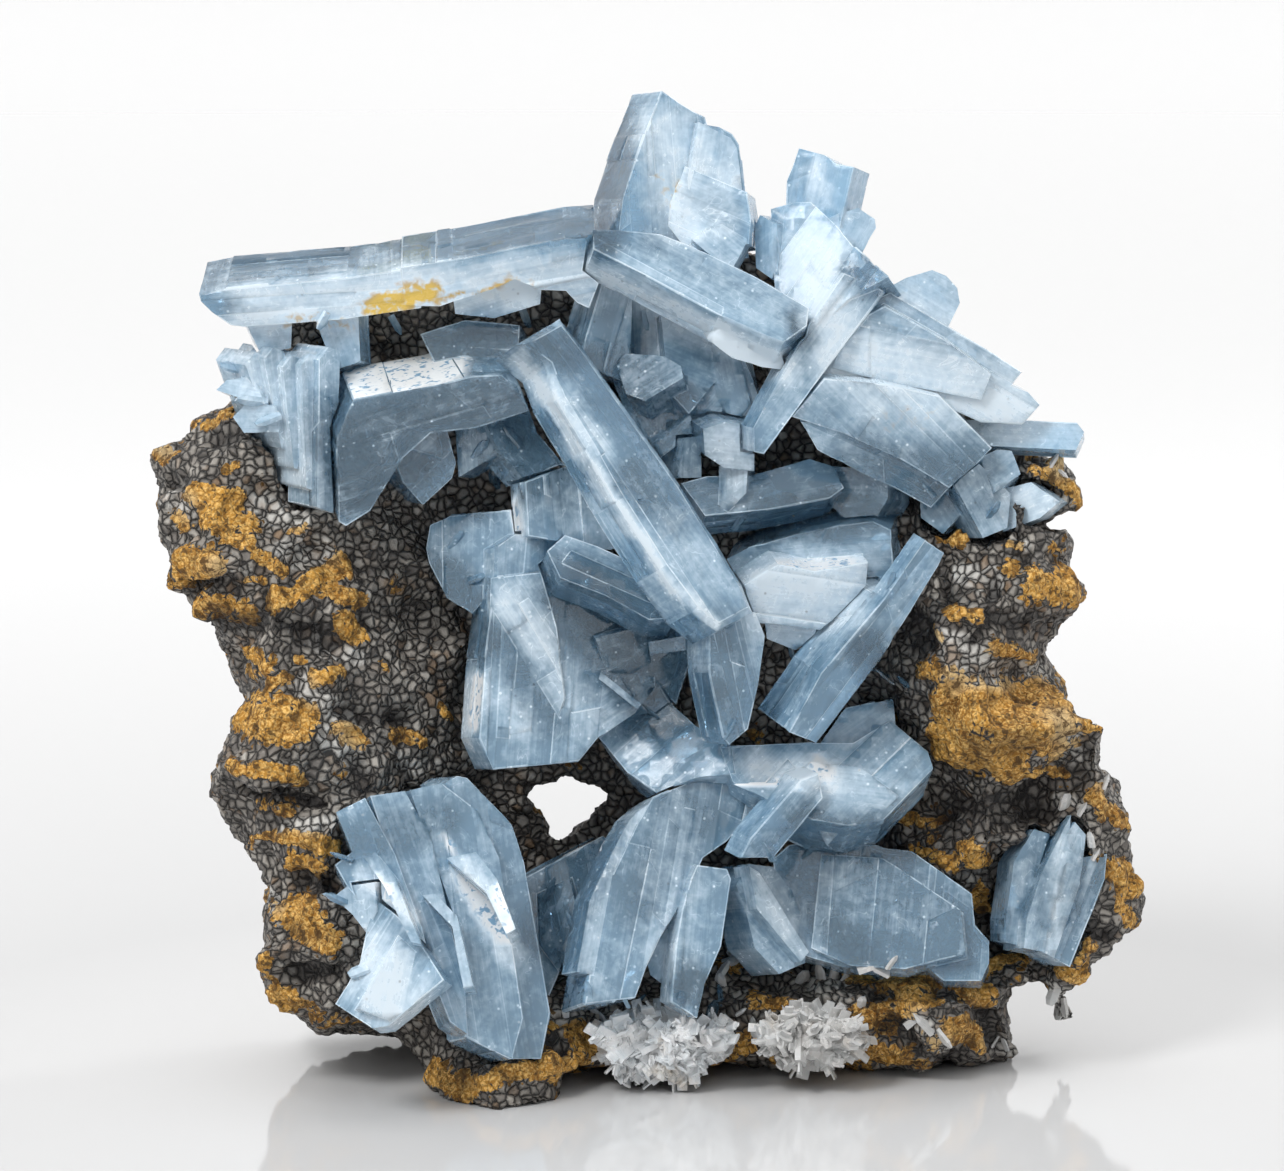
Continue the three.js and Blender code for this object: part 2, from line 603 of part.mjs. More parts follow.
function middleBackPlates() {
  return [
    {
      face: [[-3.6, 81.6], [-2, 81], [4, 78.4], [9.5, 75], [11.4, 70], [10, 66], [5, 66.4], [2, 64.4],
        [-1.5, 67.5], [-3.5, 72.5]],
      depth: -0.6, turn: -8, tilt: 6, thick: 7,
    },
    {
      face: [[-4.1, 82.2], [-1.2, 80.6], [-1.6, 71.4], [-6.4, 73.4], [-6, 75.6]],
      depth: -3, turn: 22, tilt: -4, thick: 6,
    },
    {
      face: [[-3.2, 74.5], [1.9, 74.2], [3.6, 73.2], [3.8, 72], [0, 69.7], [-1.9, 70.4]],
      depth: -4, turn: -10, tilt: 22, thick: 6,
    },
    { face: [[1, 65.3], [4.5, 68.3], [5.1, 66.8], [1.7, 64.1]], depth: -4, turn: 18, thick: 6 },
    {
      face: [[1.6, 78.4], [6.4, 76.4], [7.4, 72], [4.4, 68.4], [2.4, 70.6]],
      depth: -1.6, turn: 14, tilt: 10, thick: 5,
    },
    {
      face: [[6.8, 76], [9.4, 74.4], [10.6, 69.4], [9, 67.2], [6.8, 70.4]],
      depth: -1.8, turn: -16, tilt: 4, thick: 5,
    },
  ];
}

function middleChips() {
  return [
    {
      face: [[5.8, 66.9], [8, 67.6], [11, 67.3], [10.9, 62.7], [7.9, 63], [6, 64.3]],
      depth: -6, turn: 14, tilt: -12, thick: 5,
    },
    {
      face: [[7.4, 63.2], [10.3, 63.4], [10.1, 60.5], [8.3, 58.7], [7.4, 59.1]],
      depth: -5, turn: -10, thick: 5,
    },
    { face: [[3.4, 62], [3.6, 66], [5.5, 66.2], [5.7, 62]], depth: -4, turn: 30, thick: 5 },
    {
      face: [[3.6, 61.5], [6.2, 62.2], [10.5, 62.2], [16.5, 63.9], [19, 63.1], [19.9, 61], [18.5, 60],
        [12, 58.8], [6, 58.2]],
      depth: -3.6, turn: 6, tilt: 18, thick: 6,
    },
    {
      face: [[18.2, 63.2], [22, 63], [24.3, 61.5], [24.3, 60], [23, 57.8], [21.5, 57.3], [19.5, 58.3],
        [18, 59.9]],
      depth: -2.4, turn: -22, tilt: 4, thick: 6.5,
    },
  ];
}

function greyPlates() {
  return [
    {
      face: [[-11.9, 22.1], [-4.2, 26.2], [-3.3, 25.3], [-5.7, 19.7], [-7.4, 15.2], [-9.7, 9.9],
        [-10.6, 14.6]],
      depth: -4, turn: 12, tilt: 6, thick: 6,
    },
    {
      face: [[-10.8, 20.4], [-7.6, 22], [-6.6, 18.2], [-8.6, 12.6], [-10.6, 15.4]],
      depth: -5.4, turn: -10, tilt: 4, thick: 4,
    },
  ];
}

function rightGroup() {
  return [
    {
      face: [[36.9, 23.6], [38.9, 26.9], [40.5, 26.4], [39.4, 23.1], [38.1, 16.3], [37.9, 15],
        [36.1, 15.7], [36.1, 18]],
      depth: -4, turn: 14, tilt: 4, thick: 5,
    },
    {
      face: [[39.6, 22.3], [42.6, 28.3], [42.2, 23.6], [40.2, 16.3], [40, 14.6], [37.9, 15], [38.2, 18]],
      depth: -5.6, turn: 18, tilt: 6, thick: 5.6,
    },
    {
      face: [[41.6, 25.6], [43, 27.6], [44.1, 26.3], [43.5, 21.4], [40.9, 14], [39.8, 14.6]],
      depth: -4.4, turn: 20, tilt: 4, thick: 5.4,
    },
    {
      face: [[43.5, 24], [46.2, 24.4], [46, 21.9], [44.3, 17.6], [42.5, 13.1], [40.9, 13.9]],
      depth: -3.4, turn: 24, tilt: 2, thick: 5.4,
    },
  ];
}

// White needles that stand in a fan on a crust, round the foot of the lower blades
function leftDruse() {
  const needles = Array.from({ length: 7 }, (_, i) => ({
    foot: [-2.2 + 1.4 * i, 5 + 0.8 * Math.sin(2.1 * i)],
    depth: -9.6 - Math.cos(1.7 * i),
    length: 4 + Math.sin(1.3 * i + 1),
    width: 2.4,
    lean: -50 + 16 * i,
    nod: 22 + 14 * Math.sin(2.6 * i),
  }));
  return [{ centre: [1.8, 5.4], depth: -7.6, halfSizes: [6.4, 3.6, 3.2] }, ...needles];
}

function rightDruse() {
  const needles = Array.from({ length: 5 }, (_, i) => ({
    foot: [13.6 + 1.4 * i, 5.6 + 0.5 * Math.sin(1.9 * i)],
    depth: -10 - 0.6 * Math.cos(2.3 * i),
    length: 3.6 + 0.8 * Math.sin(1.7 * i),
    width: 2.2,
    lean: -40 + 20 * i,
    nod: 26 + 12 * Math.sin(2.2 * i + 1),
  }));
  return [{ centre: [16.6, 5.8], depth: -8.6, halfSizes: [5, 3, 2.2] }, ...needles];
}

// The matrix: the middle [x, h], the depth and the half sizes across, up and back of each lump
const LEFT_LUMPS = [
  [-44, 61, 2, 7, 6, 8], [-38, 66, 4, 7, 6, 8], [-42, 54, 1, 8, 7, 10], [-33, 58, 5, 9, 9, 9],
  [-37, 48, 1, 9, 8, 11], [-26, 52, 7, 9, 10, 9], [-25, 63, 9, 9, 8, 8], [-35, 40, 0, 8, 7, 11],
  [-27, 42, 5, 9, 9, 10], [-19, 47, 10, 8, 10, 8], [-38, 32, -2, 8, 7, 10], [-30, 33, 1, 9, 8, 11],
  [-21, 37, 8, 8, 8, 9], [-33, 24, -3, 7, 7, 10], [-24, 26, 4, 8, 8, 10], [-34, 16, -8, 6, 6, 8],
  [-26, 16, -3, 8, 9, 11], [-33, 11, -6, 6, 5, 8], [-24, 9, 0, 8, 6, 12], [-35, 36, -6, 5, 5, 6],
];
const LOW_LUMPS = [
  [-15, 0.5, -11, 8.5, 6.5, 6.5], [-17, 9, -2, 8, 8, 12], [-9, 6, 0, 8, 6, 11], [0, 6, 2, 8, 5, 10],
  [9, 7, 2, 8, 6, 10], [19, 7, 1, 9, 6, 10], [28, 8, 1, 8, 7, 11], [34, 8, 4, 5, 6, 9],
  [27, 10, -5, 3.4, 3.4, 3.4], [32, 6, -5, 4, 3.4, 4],
];
const BACK_LUMPS = [
  [-14, 20, 13, 8, 9, 8], [-2, 17, 12, 9, 9, 8], [8, 19, 11, 9, 10, 9], [19, 19, 9, 9, 9, 9],
  [28, 21, 7, 8, 9, 10], [21, 31, 8, 9, 8, 9], [7, 29, 12, 9, 7, 8], [-17, 36, 13, 8, 8, 7],
  [-2, 40, 11, 9, 8, 7], [9, 41, 9, 9, 9, 8], [18, 43, 7, 8, 9, 9], [-9, 50, 12, 9, 10, 8],
  [4, 55, 11, 9, 10, 8], [15, 57, 9, 9, 9, 8], [-15, 61, 11, 9, 9, 7], [-5, 67, 10, 10, 9, 7],
  [8, 70, 11, 9, 8, 7], [19, 70, 9, 8, 7, 7], [-18, 70, 8, 9, 6, 7], [26, 63, 7, 7, 6, 7],
  [5, 80, 9, 7, 6, 5], [-14, 10, 13, 10, 9, 9], [-27, 14, 10, 8, 9, 8], [4, 9, 14, 11, 8, 8],
  [20, 10, 13, 10, 9, 9], [-24, 28, 12, 9, 9, 8], [30, 32, 10, 9, 9, 8],
];
const RIGHT_LUMPS = [
  [35, 38, -2, 8, 7, 10], [42, 36, 3, 5, 6, 8], [33, 48, 1, 8, 7, 10], [40, 50, 1, 5, 6, 7],
  [33, 56, 4, 8, 6, 8], [39, 61, 3, 5, 4.5, 6], [34, 28, 3, 7, 7, 10], [43, 28, 3, 6, 7, 8],
  [47, 22, 2, 3.5, 7, 6], [41, 20, 5, 5, 8, 6], [44, 15, 2, 4, 4, 5], [38, 12, 4, 4, 3.4, 7],
  [42, 9.4, 1, 2.2, 3.4, 2.4], [29, 42, -1, 5, 6, 8],
];
const LUMPS = [...LEFT_LUMPS, ...LOW_LUMPS, ...BACK_LUMPS, ...RIGHT_LUMPS];

// The outline of the matrix and the gaps through it, as seen from the front
const MATRIX_OUTLINE = [
  [-40.5, 70], [-44.5, 67.7], [-46.2, 65.6], [-48.4, 65.3], [-49.75, 64.4], [-48.6, 61.1], [-48.9, 57.3],
  [-47, 53.2], [-47.5, 51.5], [-43.2, 46.8], [-40.9, 42.1], [-40, 39.8], [-42.2, 34.1], [-43.3, 30.2],
  [-40.1, 24.8], [-37.2, 21.2], [-37.9, 18.8], [-38.5, 13.6], [-36.8, 10], [-32.5, 6.6], [-24.8, 6.5],
  [-22.6, 3.7], [-21.1, 1.3], [-20, -4], [-9, -4], [-8.2, 2.7], [-4, 3.5], [1.4, 2.3], [5.6, 3.9],
  [11.6, 2.9], [20.8, 3.4], [27.8, 2.5], [35.8, 3.9], [37.1, 4.7], [36, 9], [36.8, 11.4], [39.6, 11.4],
  [40.4, 9.9], [41.3, 7.2], [43.2, 8], [42.2, 11], [44.7, 13], [49.2, 17.4], [49.6, 19.9], [48.4, 26.1],
  [47.1, 31.5], [45.4, 33.2], [45.5, 36.9], [42.8, 38.1], [40.1, 45], [43.8, 50.6], [42.7, 53],
  [42.1, 56.6], [38.7, 57.2], [43.6, 59.4], [41.7, 64], [35.5, 65.2], [34, 74], [16, 84], [-3, 86],
  [-22, 81], [-36, 79], [-38.5, 75.5],
];
const GAPS = [
  [[-12.3, 30.4], [-9, 31.4], [-8, 32.4], [-5, 31.4], [-3, 30.5], [-5.7, 28.2], [-8.8, 25.3], [-10, 28],
    [-11.3, 29]],
  [[34.7, 18.4], [35, 21.4], [36.8, 21.7], [36.6, 18]],
  [[24.1, 26.2], [24.5, 28], [25.3, 27.6], [25.1, 26]],
  [[22.9, 55.2], [23.2, 57.4], [25.6, 57.2], [25.5, 55.6]],
];
const CRYSTAL_GROUPS = {
  long_blade: longBlade,
  top_diagonal_blade: topDiagonalBlade,
  right_diagonal_blade: rightDiagonalBlade,
  lower_left_fan: lowerLeftFan,
  lower_left_blades: lowerLeftBlades,
  lower_middle_blades: lowerMiddleBlades,
  lower_right_fan: lowerRightFan,
  shelf_blades: shelfBlades,
  cross_blade: crossBlade,
  frosty_plate: frostyPlate,
  left_tab: leftTab,
  middle_slabs: middleSlabs,
  upper_right_blades: upperRightBlades,
  top_left_bars: topLeftBars,
  crown,
  left_block: leftBlock,
  left_stack: leftStack,
  right_blades: rightBlades,
  right_chips: rightChips,
  middle_chips: middleChips,
  middle_back_plates: middleBackPlates,
  grey_plates: greyPlates,
  right_group: rightGroup,
};
const DRUSES = { left_druse: leftDruse, right_druse: rightDruse };

const specimen = new THREE.Group();

function addPiece(name, body, colour, roughness) {
  const made = body.getMesh();
  const geometry = new THREE.BufferGeometry();
  geometry.setAttribute("position", new THREE.BufferAttribute(made.vertProperties, made.numProp));
  geometry.setIndex(new THREE.BufferAttribute(made.triVerts, 1));
  geometry.computeVertexNormals();
  const material = new THREE.MeshStandardMaterial({ color: colour, roughness, metalness: 0 });
  const mesh = new THREE.Mesh(geometry, material);
  mesh.name = name;
  specimen.add(mesh);
}

// Each group keeps a thin gap to the groups in front of it, and the matrix to all of them
let taken = null;
function grow(name, pieces, colour, roughness) {
  const whole = joined(pieces.map((piece) => crystal(piece)));
  const free = taken ? whole.subtract(taken) : whole;
  const parts = free.decompose().sort((a, b) => b.volume() - a.volume());
  const margin = joined(pieces.map((piece) => crystal({ ...piece, bevel: 0 }, CONTACT_GAP)));
  taken = taken ? taken.add(margin) : margin;
  addPiece(name, parts[0], colour, roughness);
}

for (const [name, pieces] of Object.entries(CRYSTAL_GROUPS)) grow(name, pieces(), BLUE, CRYSTAL_GLOSS);
for (const [name, pieces] of Object.entries(DRUSES)) grow(name, pieces(), WHITE, DRUSE_GLOSS);

let matrix = lumpyBody().intersect(sightPrism(MATRIX_OUTLINE));
for (const gap of GAPS) matrix = matrix.subtract(sightPrism(gap));
const ground = new THREE.BoxGeometry(4 * BEYOND, 4 * BEYOND, BEYOND);
ground.translate(0, 0, GROUND_HEIGHT - BEYOND / 2);
matrix = matrix.subtract(solid(ground));
matrix = matrix.subtract(taken);
const pieces = matrix.decompose().sort((a, b) => b.volume() - a.volume());
addPiece("matrix", pieces[0], DARK_BROWN, MATRIX_GLOSS);

const box = new THREE.Box3().setFromObject(specimen);
const centre = box.getCenter(new THREE.Vector3());
specimen.position.set(-centre.x, -centre.y, -box.min.z);

const root = new THREE.Group();
root.add(specimen);

export default root;
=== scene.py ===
"""A cabinet specimen of blue barite: bladed crystals on a dark botryoidal matrix with ochre crusts."""
import json
import math
from random import Random

import bmesh
import bpy
from mathutils import Matrix, Vector, noise
from mathutils.bvhtree import BVHTree


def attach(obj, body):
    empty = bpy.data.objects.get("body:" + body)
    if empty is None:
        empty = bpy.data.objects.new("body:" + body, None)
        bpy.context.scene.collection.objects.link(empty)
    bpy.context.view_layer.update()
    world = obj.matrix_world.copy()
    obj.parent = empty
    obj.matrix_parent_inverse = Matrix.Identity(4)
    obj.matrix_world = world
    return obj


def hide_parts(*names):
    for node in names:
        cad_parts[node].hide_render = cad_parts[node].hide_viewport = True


bl_info = {
    "name": "Barite specimen",
    "version": (1, 0, 0),
    "blender": (4, 5, 0),
    "location": "3D View > Sidebar > Specimen",
    "description": "Dresses the solids of a barite specimen and sets it on a pale table",
    "category": "Object",
}

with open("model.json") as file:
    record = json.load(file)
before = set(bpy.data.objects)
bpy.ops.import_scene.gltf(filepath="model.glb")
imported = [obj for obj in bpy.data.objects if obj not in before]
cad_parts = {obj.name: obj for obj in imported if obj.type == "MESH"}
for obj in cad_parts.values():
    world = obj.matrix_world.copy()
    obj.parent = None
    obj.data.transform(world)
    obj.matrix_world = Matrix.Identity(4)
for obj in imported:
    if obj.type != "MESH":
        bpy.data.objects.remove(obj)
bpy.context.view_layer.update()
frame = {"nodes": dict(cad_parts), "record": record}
MM = 0.001
SHARP = math.radians(38)

# The eye, as in the photograph: level with the middle, and a little above
EYE_ELEVATION = math.radians(8)
EYE_DISTANCE = 0.480
AIM = Vector((-0.00056, 0.00154, 0.04954))
SHEET_MIDDLE = (-0.3, 51.25)
SENSOR_WIDTH = 36.0
SHEET_WIDTH = 0.1284
EYE_RIGHT = Vector((1, 0, 0))
EYE_UP = Vector((0, math.sin(EYE_ELEVATION), math.cos(EYE_ELEVATION)))
EYE_AHEAD = Vector((0, math.cos(EYE_ELEVATION), -math.sin(EYE_ELEVATION)))
EYE = AIM - EYE_DISTANCE * EYE_AHEAD

CRYSTAL_NODES = [
    entry["node"] for entry in frame["record"]["subparts"] if entry["material_slot"] == "blue_crystal"
]

# Strokes as seen from the front, in mm: [x, h] of both ends, half width, strength
# Whiter zones: partly the crystal's milky parts, partly painted light on the front and lower faces of the blades
MILK_AND_LIGHT_STROKES = [
    (-40, 79.3, -7, 82.6, 2.4, 1), (-13, 80, -7, 81.5, 2.2, 0.9), (-27.8, 84.3, -26.5, 84.3, 1.2, 0.9),
    (-4, 81.9, 14, 72.8, 1.3, 1), (2, 96, 3.5, 87.5, 2.8, 1), (7.5, 92, 8, 87, 1.6, 0.6),
    (17, 84, 18.5, 78, 2.6, 0.9), (17.5, 92.5, 18, 90, 1.2, 0.7), (20.5, 74.5, 36, 69.5, 3.6, 1),
    (24, 71, 33, 70, 4, 0.8), (22, 68, 31, 66, 2.5, 0.15), (-28, 67.5, -14, 69.5, 1.2, 0.35),
    (-26, 65, -22, 66, 1.2, 0.3), (-38, 72, -36, 62, 3.5, 0.5), (-33, 60, -31, 58, 2.5, 0.4),
    (-12.7, 74.6, -6.3, 64.2, 0.8, 1), (-6.3, 64.2, 2.9, 50.9, 0.7, 1), (2.9, 50.9, 7.2, 47.3, 0.6, 0.9),
    (-9, 71, -8, 70, 1.6, 0.45), (-6, 67.4, -4.4, 65.4, 1.2, 0.7), (3, 57, 7, 51, 1.6, 0.3),
    (-13.3, 59.5, -12.7, 57, 0.7, 1), (-9, 59.5, -4, 57, 2, 0.5), (-13.6, 49.4, -9.6, 45, 1.7, 0.9),
    (-17.4, 42, -18, 36, 0.7, 0.8), (-15, 40, -12, 37, 1.8, 0.5), (-8, 42, -5, 39, 2.2, 0.5),
    (12, 51.5, 21, 52.5, 2, 1), (12, 48.5, 20, 49, 2.2, 0.8), (12, 33, 18, 32, 1.5, 0.9),
    (19, 31, 26, 30, 2.5, 0.4), (-18, 22.5, -13, 14, 1.2, 0.9), (-28, 22.5, -25.5, 20, 0.8, 0.9),
    (-24.5, 19.5, -23, 18, 0.8, 1), (-27.5, 14, -25, 10, 3, 0.8), (3, 27, 2, 15, 2.2, 0.4), (-2, 29, 2, 27, 2, 0.3),
    (19, 22, 21, 19, 2, 0.3), (14, 20, 16, 15, 1.6, 0.2), (12, 22, 14.5, 17, 1.2, 0.5),
    (37.5, 23, 37.5, 13, 0.6, 0.6), (41.6, 26, 41, 14, 0.5, 0.5), (44.5, 24, 43.5, 14, 0.5, 0.4),
    (26, 77.4, 30, 76, 2.6, 0.5), (14, 68, 22, 79, 2, 0.2), (1, 85, 14, 79.4, 2.6, 0.3), (20, 21, 27, 18, 2, 0.25), (38, 60, 40, 57, 2, 0.5), (-3, 35, 2, 33, 1.5, 0.4), (8, 66, 10, 60, 1.5, 0.5), (-1, 81, 2, 78, 2, 0.5),
]
# Deeper blue zones: partly the crystal's own colour, partly painted shade on the upper faces and where the dark rock
# shows through
DEEP_AND_SHADE_STROKES = [
    (-43, 83.5, -8, 87, 2.2, 0.9), (-43.5, 82, -42, 80, 1.8, 0.8), (-3.4, 97, -4.6, 86, 2.2, 1),
    (0, 86, 14.5, 79.5, 1.4, 0.2), (15, 78, 15.5, 76, 1.2, 0.9), (20.5, 83, 24, 80.6, 1.4, 0.6),
    (-10, 76, -7, 74, 1.8, 0.8), (0, 63, 3, 58, 2, 0.5), (-2, 62, 0, 60, 1.5, 0.6), (-6, 50, 4, 40, 4, 0.9),
    (-3, 72, 9, 61, 4, 0.5), (-6, 20, -2, 30, 1.6, 0.6), (4, 12, 7, 9, 1.8, 0.7), (-30, 25, -20, 28, 2, 0.4),
    (16, 26, 26, 26, 2.5, 0.7), (19, 17, 22, 14, 2, 0.7), (-33, 64, -31, 58, 2, 0.4), (-20, 52, -17, 46, 2.5, 0.7),
    (-14, 64, -8, 61, 3, 0.6), (-20, 74, -12, 76, 3, 0.8), (6, 46, 10, 38, 3, 0.4), (12, 58, 22, 59, 2, 0.8),
    (16, 40, 26, 54, 1.6, 0.15), (24, 79, 34, 73, 2, 0.3), (-4, 26, -8, 14, 1.4, 0.6), (22, 45, 25, 41, 2, 0.8),
    (-31, 66, -15, 69, 3.5, 0.8), (-30, 61, -24, 63, 3.5, 0.8), (22, 64, 33, 61, 3, 0.5), (24, 66.5, 34, 64, 2, 0.3),
    (15, 22, 30, 16, 5, 0.45), (-5, 48, 3, 40, 5, 0.8), (0, 20, 4, 28, 3, 0.4), (37.5, 20, 44, 20, 4, 0.4),
    (-1, 95, 1, 86, 2, 0.5), (4, 92, 8, 88, 2, 0.3), (-14, 46, -10, 38, 2, 0.4), (-8, 24, -11, 16, 2, 0.6),
    (-40, 76, -36, 74, 2, 0.4), (13, 57.6, 24, 59, 2, 0.7), (-11, 66, -17, 61, 2.5, 0.8), (-38, 66, -37, 60, 1, 0.6),
]
STAIN_STROKES = [
    (-27, 79.3, -21.8, 80.8, 1.15, 1.0), (-20.5, 79.6, -13, 81.9, 0.45, 0.7), (-13, 81.9, -10, 81.2, 0.3, 0.5),
    (1.6, 92.4, 2.6, 89.6, 0.55, 0.55), (3.4, 92.6, 3.3, 90.6, 0.3, 0.6), (25, 67.4, 28, 68.6, 1.6, 0.28),
    (16.2, 82.5, 16, 80.5, 0.4, 0.5), (-10, 78.8, -7, 78.6, 0.5, 0.6), (-36, 77.7, -29.5, 77.7, 0.4, 0.55),
]
# Painted highlights: bright white glints painted on the face under each stroke's middle
GLINT_STROKES = [
    (-29.6, 71.8, -20, 73.6, 2.0, 1.0), (-18, 22, -14, 16, 0.7, 1.0), (-27.5, 22, -25.6, 20.2, 0.5, 1.0),
    (-24.3, 19.6, -23, 18.2, 0.6, 1.0), (13, 52.6, 20, 53.2, 1.0, 1.0), (-16.6, 42, -17.2, 37.2, 0.45, 1.0),
    (-13.2, 59, -12.8, 57, 0.45, 0.9), (9, 31.6, 15, 31.5, 0.35, 0.9), (17.2, 33.6, 17.8, 32.4, 0.7, 1.0),
    (-20, 26, -19, 24.5, 0.35, 0.8), (-14.6, 21, -13.6, 17, 0.5, 0.8),
]
OCHRE_STROKES = [
    (-49.3, 64.7, -47, 64.2, 0.9, 1), (-44.5, 68, -41, 69.5, 0.9, 0.9), (-45, 60, -41, 59.4, 1.1, 1),
    (-43.6, 58, -40, 57.4, 1.2, 1), (-42.5, 63, -40.5, 63.3, 0.5, 0.8), (-41.5, 56, -40, 55.5, 0.8, 0.9),
    (-46.6, 58, -46.2, 57.6, 0.7, 0.8), (-46.4, 53, -43.6, 54, 1.7, 1), (-44, 49.6, -40.6, 48.6, 1.4, 0.8),
    (-39, 54.3, -36.8, 53.3, 0.9, 0.9), (-40, 51.8, -38.5, 51.3, 0.6, 0.7), (-37, 49.8, -30.6, 53.2, 1.3, 1),
    (-31.5, 50.6, -29, 49.8, 1, 0.9), (-30, 47.7, -28.5, 46.5, 1, 1), (-39, 44.3, -37.3, 43.5, 1, 0.9),
    (-40.2, 42.6, -39.6, 42.2, 0.7, 0.7), (-39.5, 40, -36, 41.8, 0.9, 0.9), (-33, 42, -31, 42.3, 0.8, 0.9),
    (-36, 56.5, -33.5, 56.8, 0.5, 0.7), (-34.6, 43.6, -34, 43.4, 0.6, 0.8), (-26.5, 44, -25.9, 43.6, 0.6, 0.7),
    (-40.4, 37.8, -34, 37.6, 1.9, 1), (-36, 39.4, -33.6, 38.8, 0.9, 0.9), (-40.5, 33, -35, 32.3, 1, 0.9),
    (-30, 37, -28.8, 35.6, 1, 1), (-24, 36.4, -22, 36, 0.9, 0.9), (-20.5, 39, -19.5, 38.2, 0.6, 0.8),
    (-38.5, 28.8, -35, 29, 0.8, 0.7), (-38.5, 25.6, -37, 26, 0.8, 0.8), (-35.5, 26, -30.5, 25.4, 0.9, 1),
    (-35, 23.4, -33, 23, 1.1, 0.9), (-34.8, 18.2, -32.8, 16.8, 2.4, 1), (-38, 13.6, -37.4, 12.2, 0.7, 0.8),
    (-36.5, 10.6, -35.3, 10, 1.1, 0.9), (-34.4, 9.3, -33.8, 9.2, 0.7, 0.8), (-33, 8, -29, 7.4, 0.8, 0.6),
    (-20.4, 2.4, -18, 1, 1.5, 1), (-18, 1.5, -9.5, 2.8, 1.1, 1), (-7, 7, -5, 5.6, 1.3, 0.9),
    (-9.6, 7.4, -9, 6.8, 0.8, 0.8), (41, 62.8, 43, 59.8, 0.8, 1), (38.5, 63, 40, 62.6, 0.7, 0.8),
    (39.2, 65, 41.4, 64.2, 0.5, 0.8), (30, 56.4, 31.5, 56.2, 1, 1), (36, 55.4, 37.4, 55, 0.7, 0.8),
    (36.2, 52.8, 37.2, 52.8, 0.7, 0.9), (39.8, 51.4, 42.4, 50.8, 1.9, 1), (41, 55.2, 42.2, 54.4, 0.6, 0.8),
    (30.8, 48.5, 33, 48, 1, 0.9), (29, 46.4, 30, 45.6, 0.7, 0.8), (31, 39.6, 41, 39, 2.6, 1),
    (30.4, 35.6, 36, 33.8, 2.3, 1), (36, 37, 41, 35.4, 1.7, 1), (35, 45.2, 38.5, 44, 0.9, 0.9),
    (27, 43, 29, 42, 0.8, 0.8), (43.8, 37.7, 45, 37, 0.7, 0.9), (43, 35.6, 43.4, 35.2, 0.7, 0.8),
    (38.6, 32.6, 41.6, 32.2, 0.8, 0.8), (25, 28.5, 27.5, 27.6, 0.8, 0.8), (27.5, 24.5, 31, 23.4, 0.8, 0.8),
    (32, 25, 33.5, 24, 1.1, 0.9), (33.4, 20.4, 34.4, 18.8, 0.9, 0.9), (45, 30.4, 47.4, 27.6, 1.2, 1),
    (46, 23.5, 48, 21.4, 1.3, 0.9), (47.5, 19.4, 48.8, 17.6, 1, 0.9), (44.6, 15, 43.8, 13.8, 0.9, 0.8),
    (37.4, 14.2, 35, 12.6, 1, 1), (42.4, 12.6, 43.4, 11.6, 0.9, 0.9), (25.6, 11.2, 28.2, 10.4, 1.9, 1),
    (21, 12.5, 22.3, 11.8, 0.9, 0.9), (32, 11, 33.6, 9.6, 1.3, 0.9), (31, 7.5, 33, 5.5, 1.1, 0.9),
    (22, 8, 24, 6.6, 1.2, 0.7), (23, 4.5, 28, 3.5, 1, 0.8), (10, 6, 15, 3.6, 1.2, 0.7), (4, 3.6, 9, 4.4, 0.9, 0.8),
    (-14, 4.5, -6, 4, 1.2, 0.8), (4, 6.5, 10, 5, 1.4, 0.8), (16, 4, 22, 3.4, 1.2, 0.8), (21, 8, 27, 9, 1.3, 0.8),
    (11, 10, 16, 9.4, 1, 0.7), (-6, 12, -2, 11, 1, 0.6),
]
PALE_STROKES = [
    (-34, 41, -29.5, 38.2, 1.1, 1), (-31, 36, -28.6, 33.8, 1, 0.8), (-38, 59, -34, 57.6, 1.3, 0.6),
    (-36, 55, -32, 54.4, 1, 0.7), (-33, 46, -29, 44, 1, 0.7), (-36, 27.3, -31, 27.5, 0.7, 0.9),
    (-38.4, 20.4, -37.2, 19.4, 0.9, 0.9), (-47.6, 60, -45.6, 58.8, 0.9, 0.7), (-42.6, 53.2, -40.4, 52.6, 0.7, 0.8),
    (-48.8, 65, -47.6, 64.8, 0.6, 1), (-24, 34, -21.4, 33, 0.9, 0.8), (-8.6, 8.8, -4, 9, 0.8, 0.9),
    (40.5, 64.2, 41.6, 62.8, 0.8, 1), (32, 52.7, 34.5, 52, 0.9, 1), (37, 56, 38, 55.4, 0.8, 0.9),
    (30, 45.4, 34, 43.6, 1.3, 1), (30.4, 42.4, 36, 41.6, 0.9, 0.9), (41, 38, 43, 35.6, 1.2, 0.9),
    (42, 34, 45, 33, 1, 0.7), (38.5, 43, 39.5, 42, 0.9, 0.8), (45.4, 32, 46.6, 30.8, 0.8, 0.7),
    (22.5, 14, 24.5, 12.8, 1, 1), (24, 12.8, 28.4, 13, 0.7, 0.8), (27.5, 7.6, 29.6, 6, 1.2, 1),
    (41, 9.6, 42.6, 8, 1.3, 1), (40.4, 12, 41, 10.6, 0.8, 0.8), (41.4, 29.9, 44, 28.6, 0.8, 1),
    (44.4, 26, 45, 24.4, 0.8, 0.9), (34.4, 5.4, 36.4, 5, 0.8, 0.9), (17, 12, 20, 10.6, 1, 0.7),
]
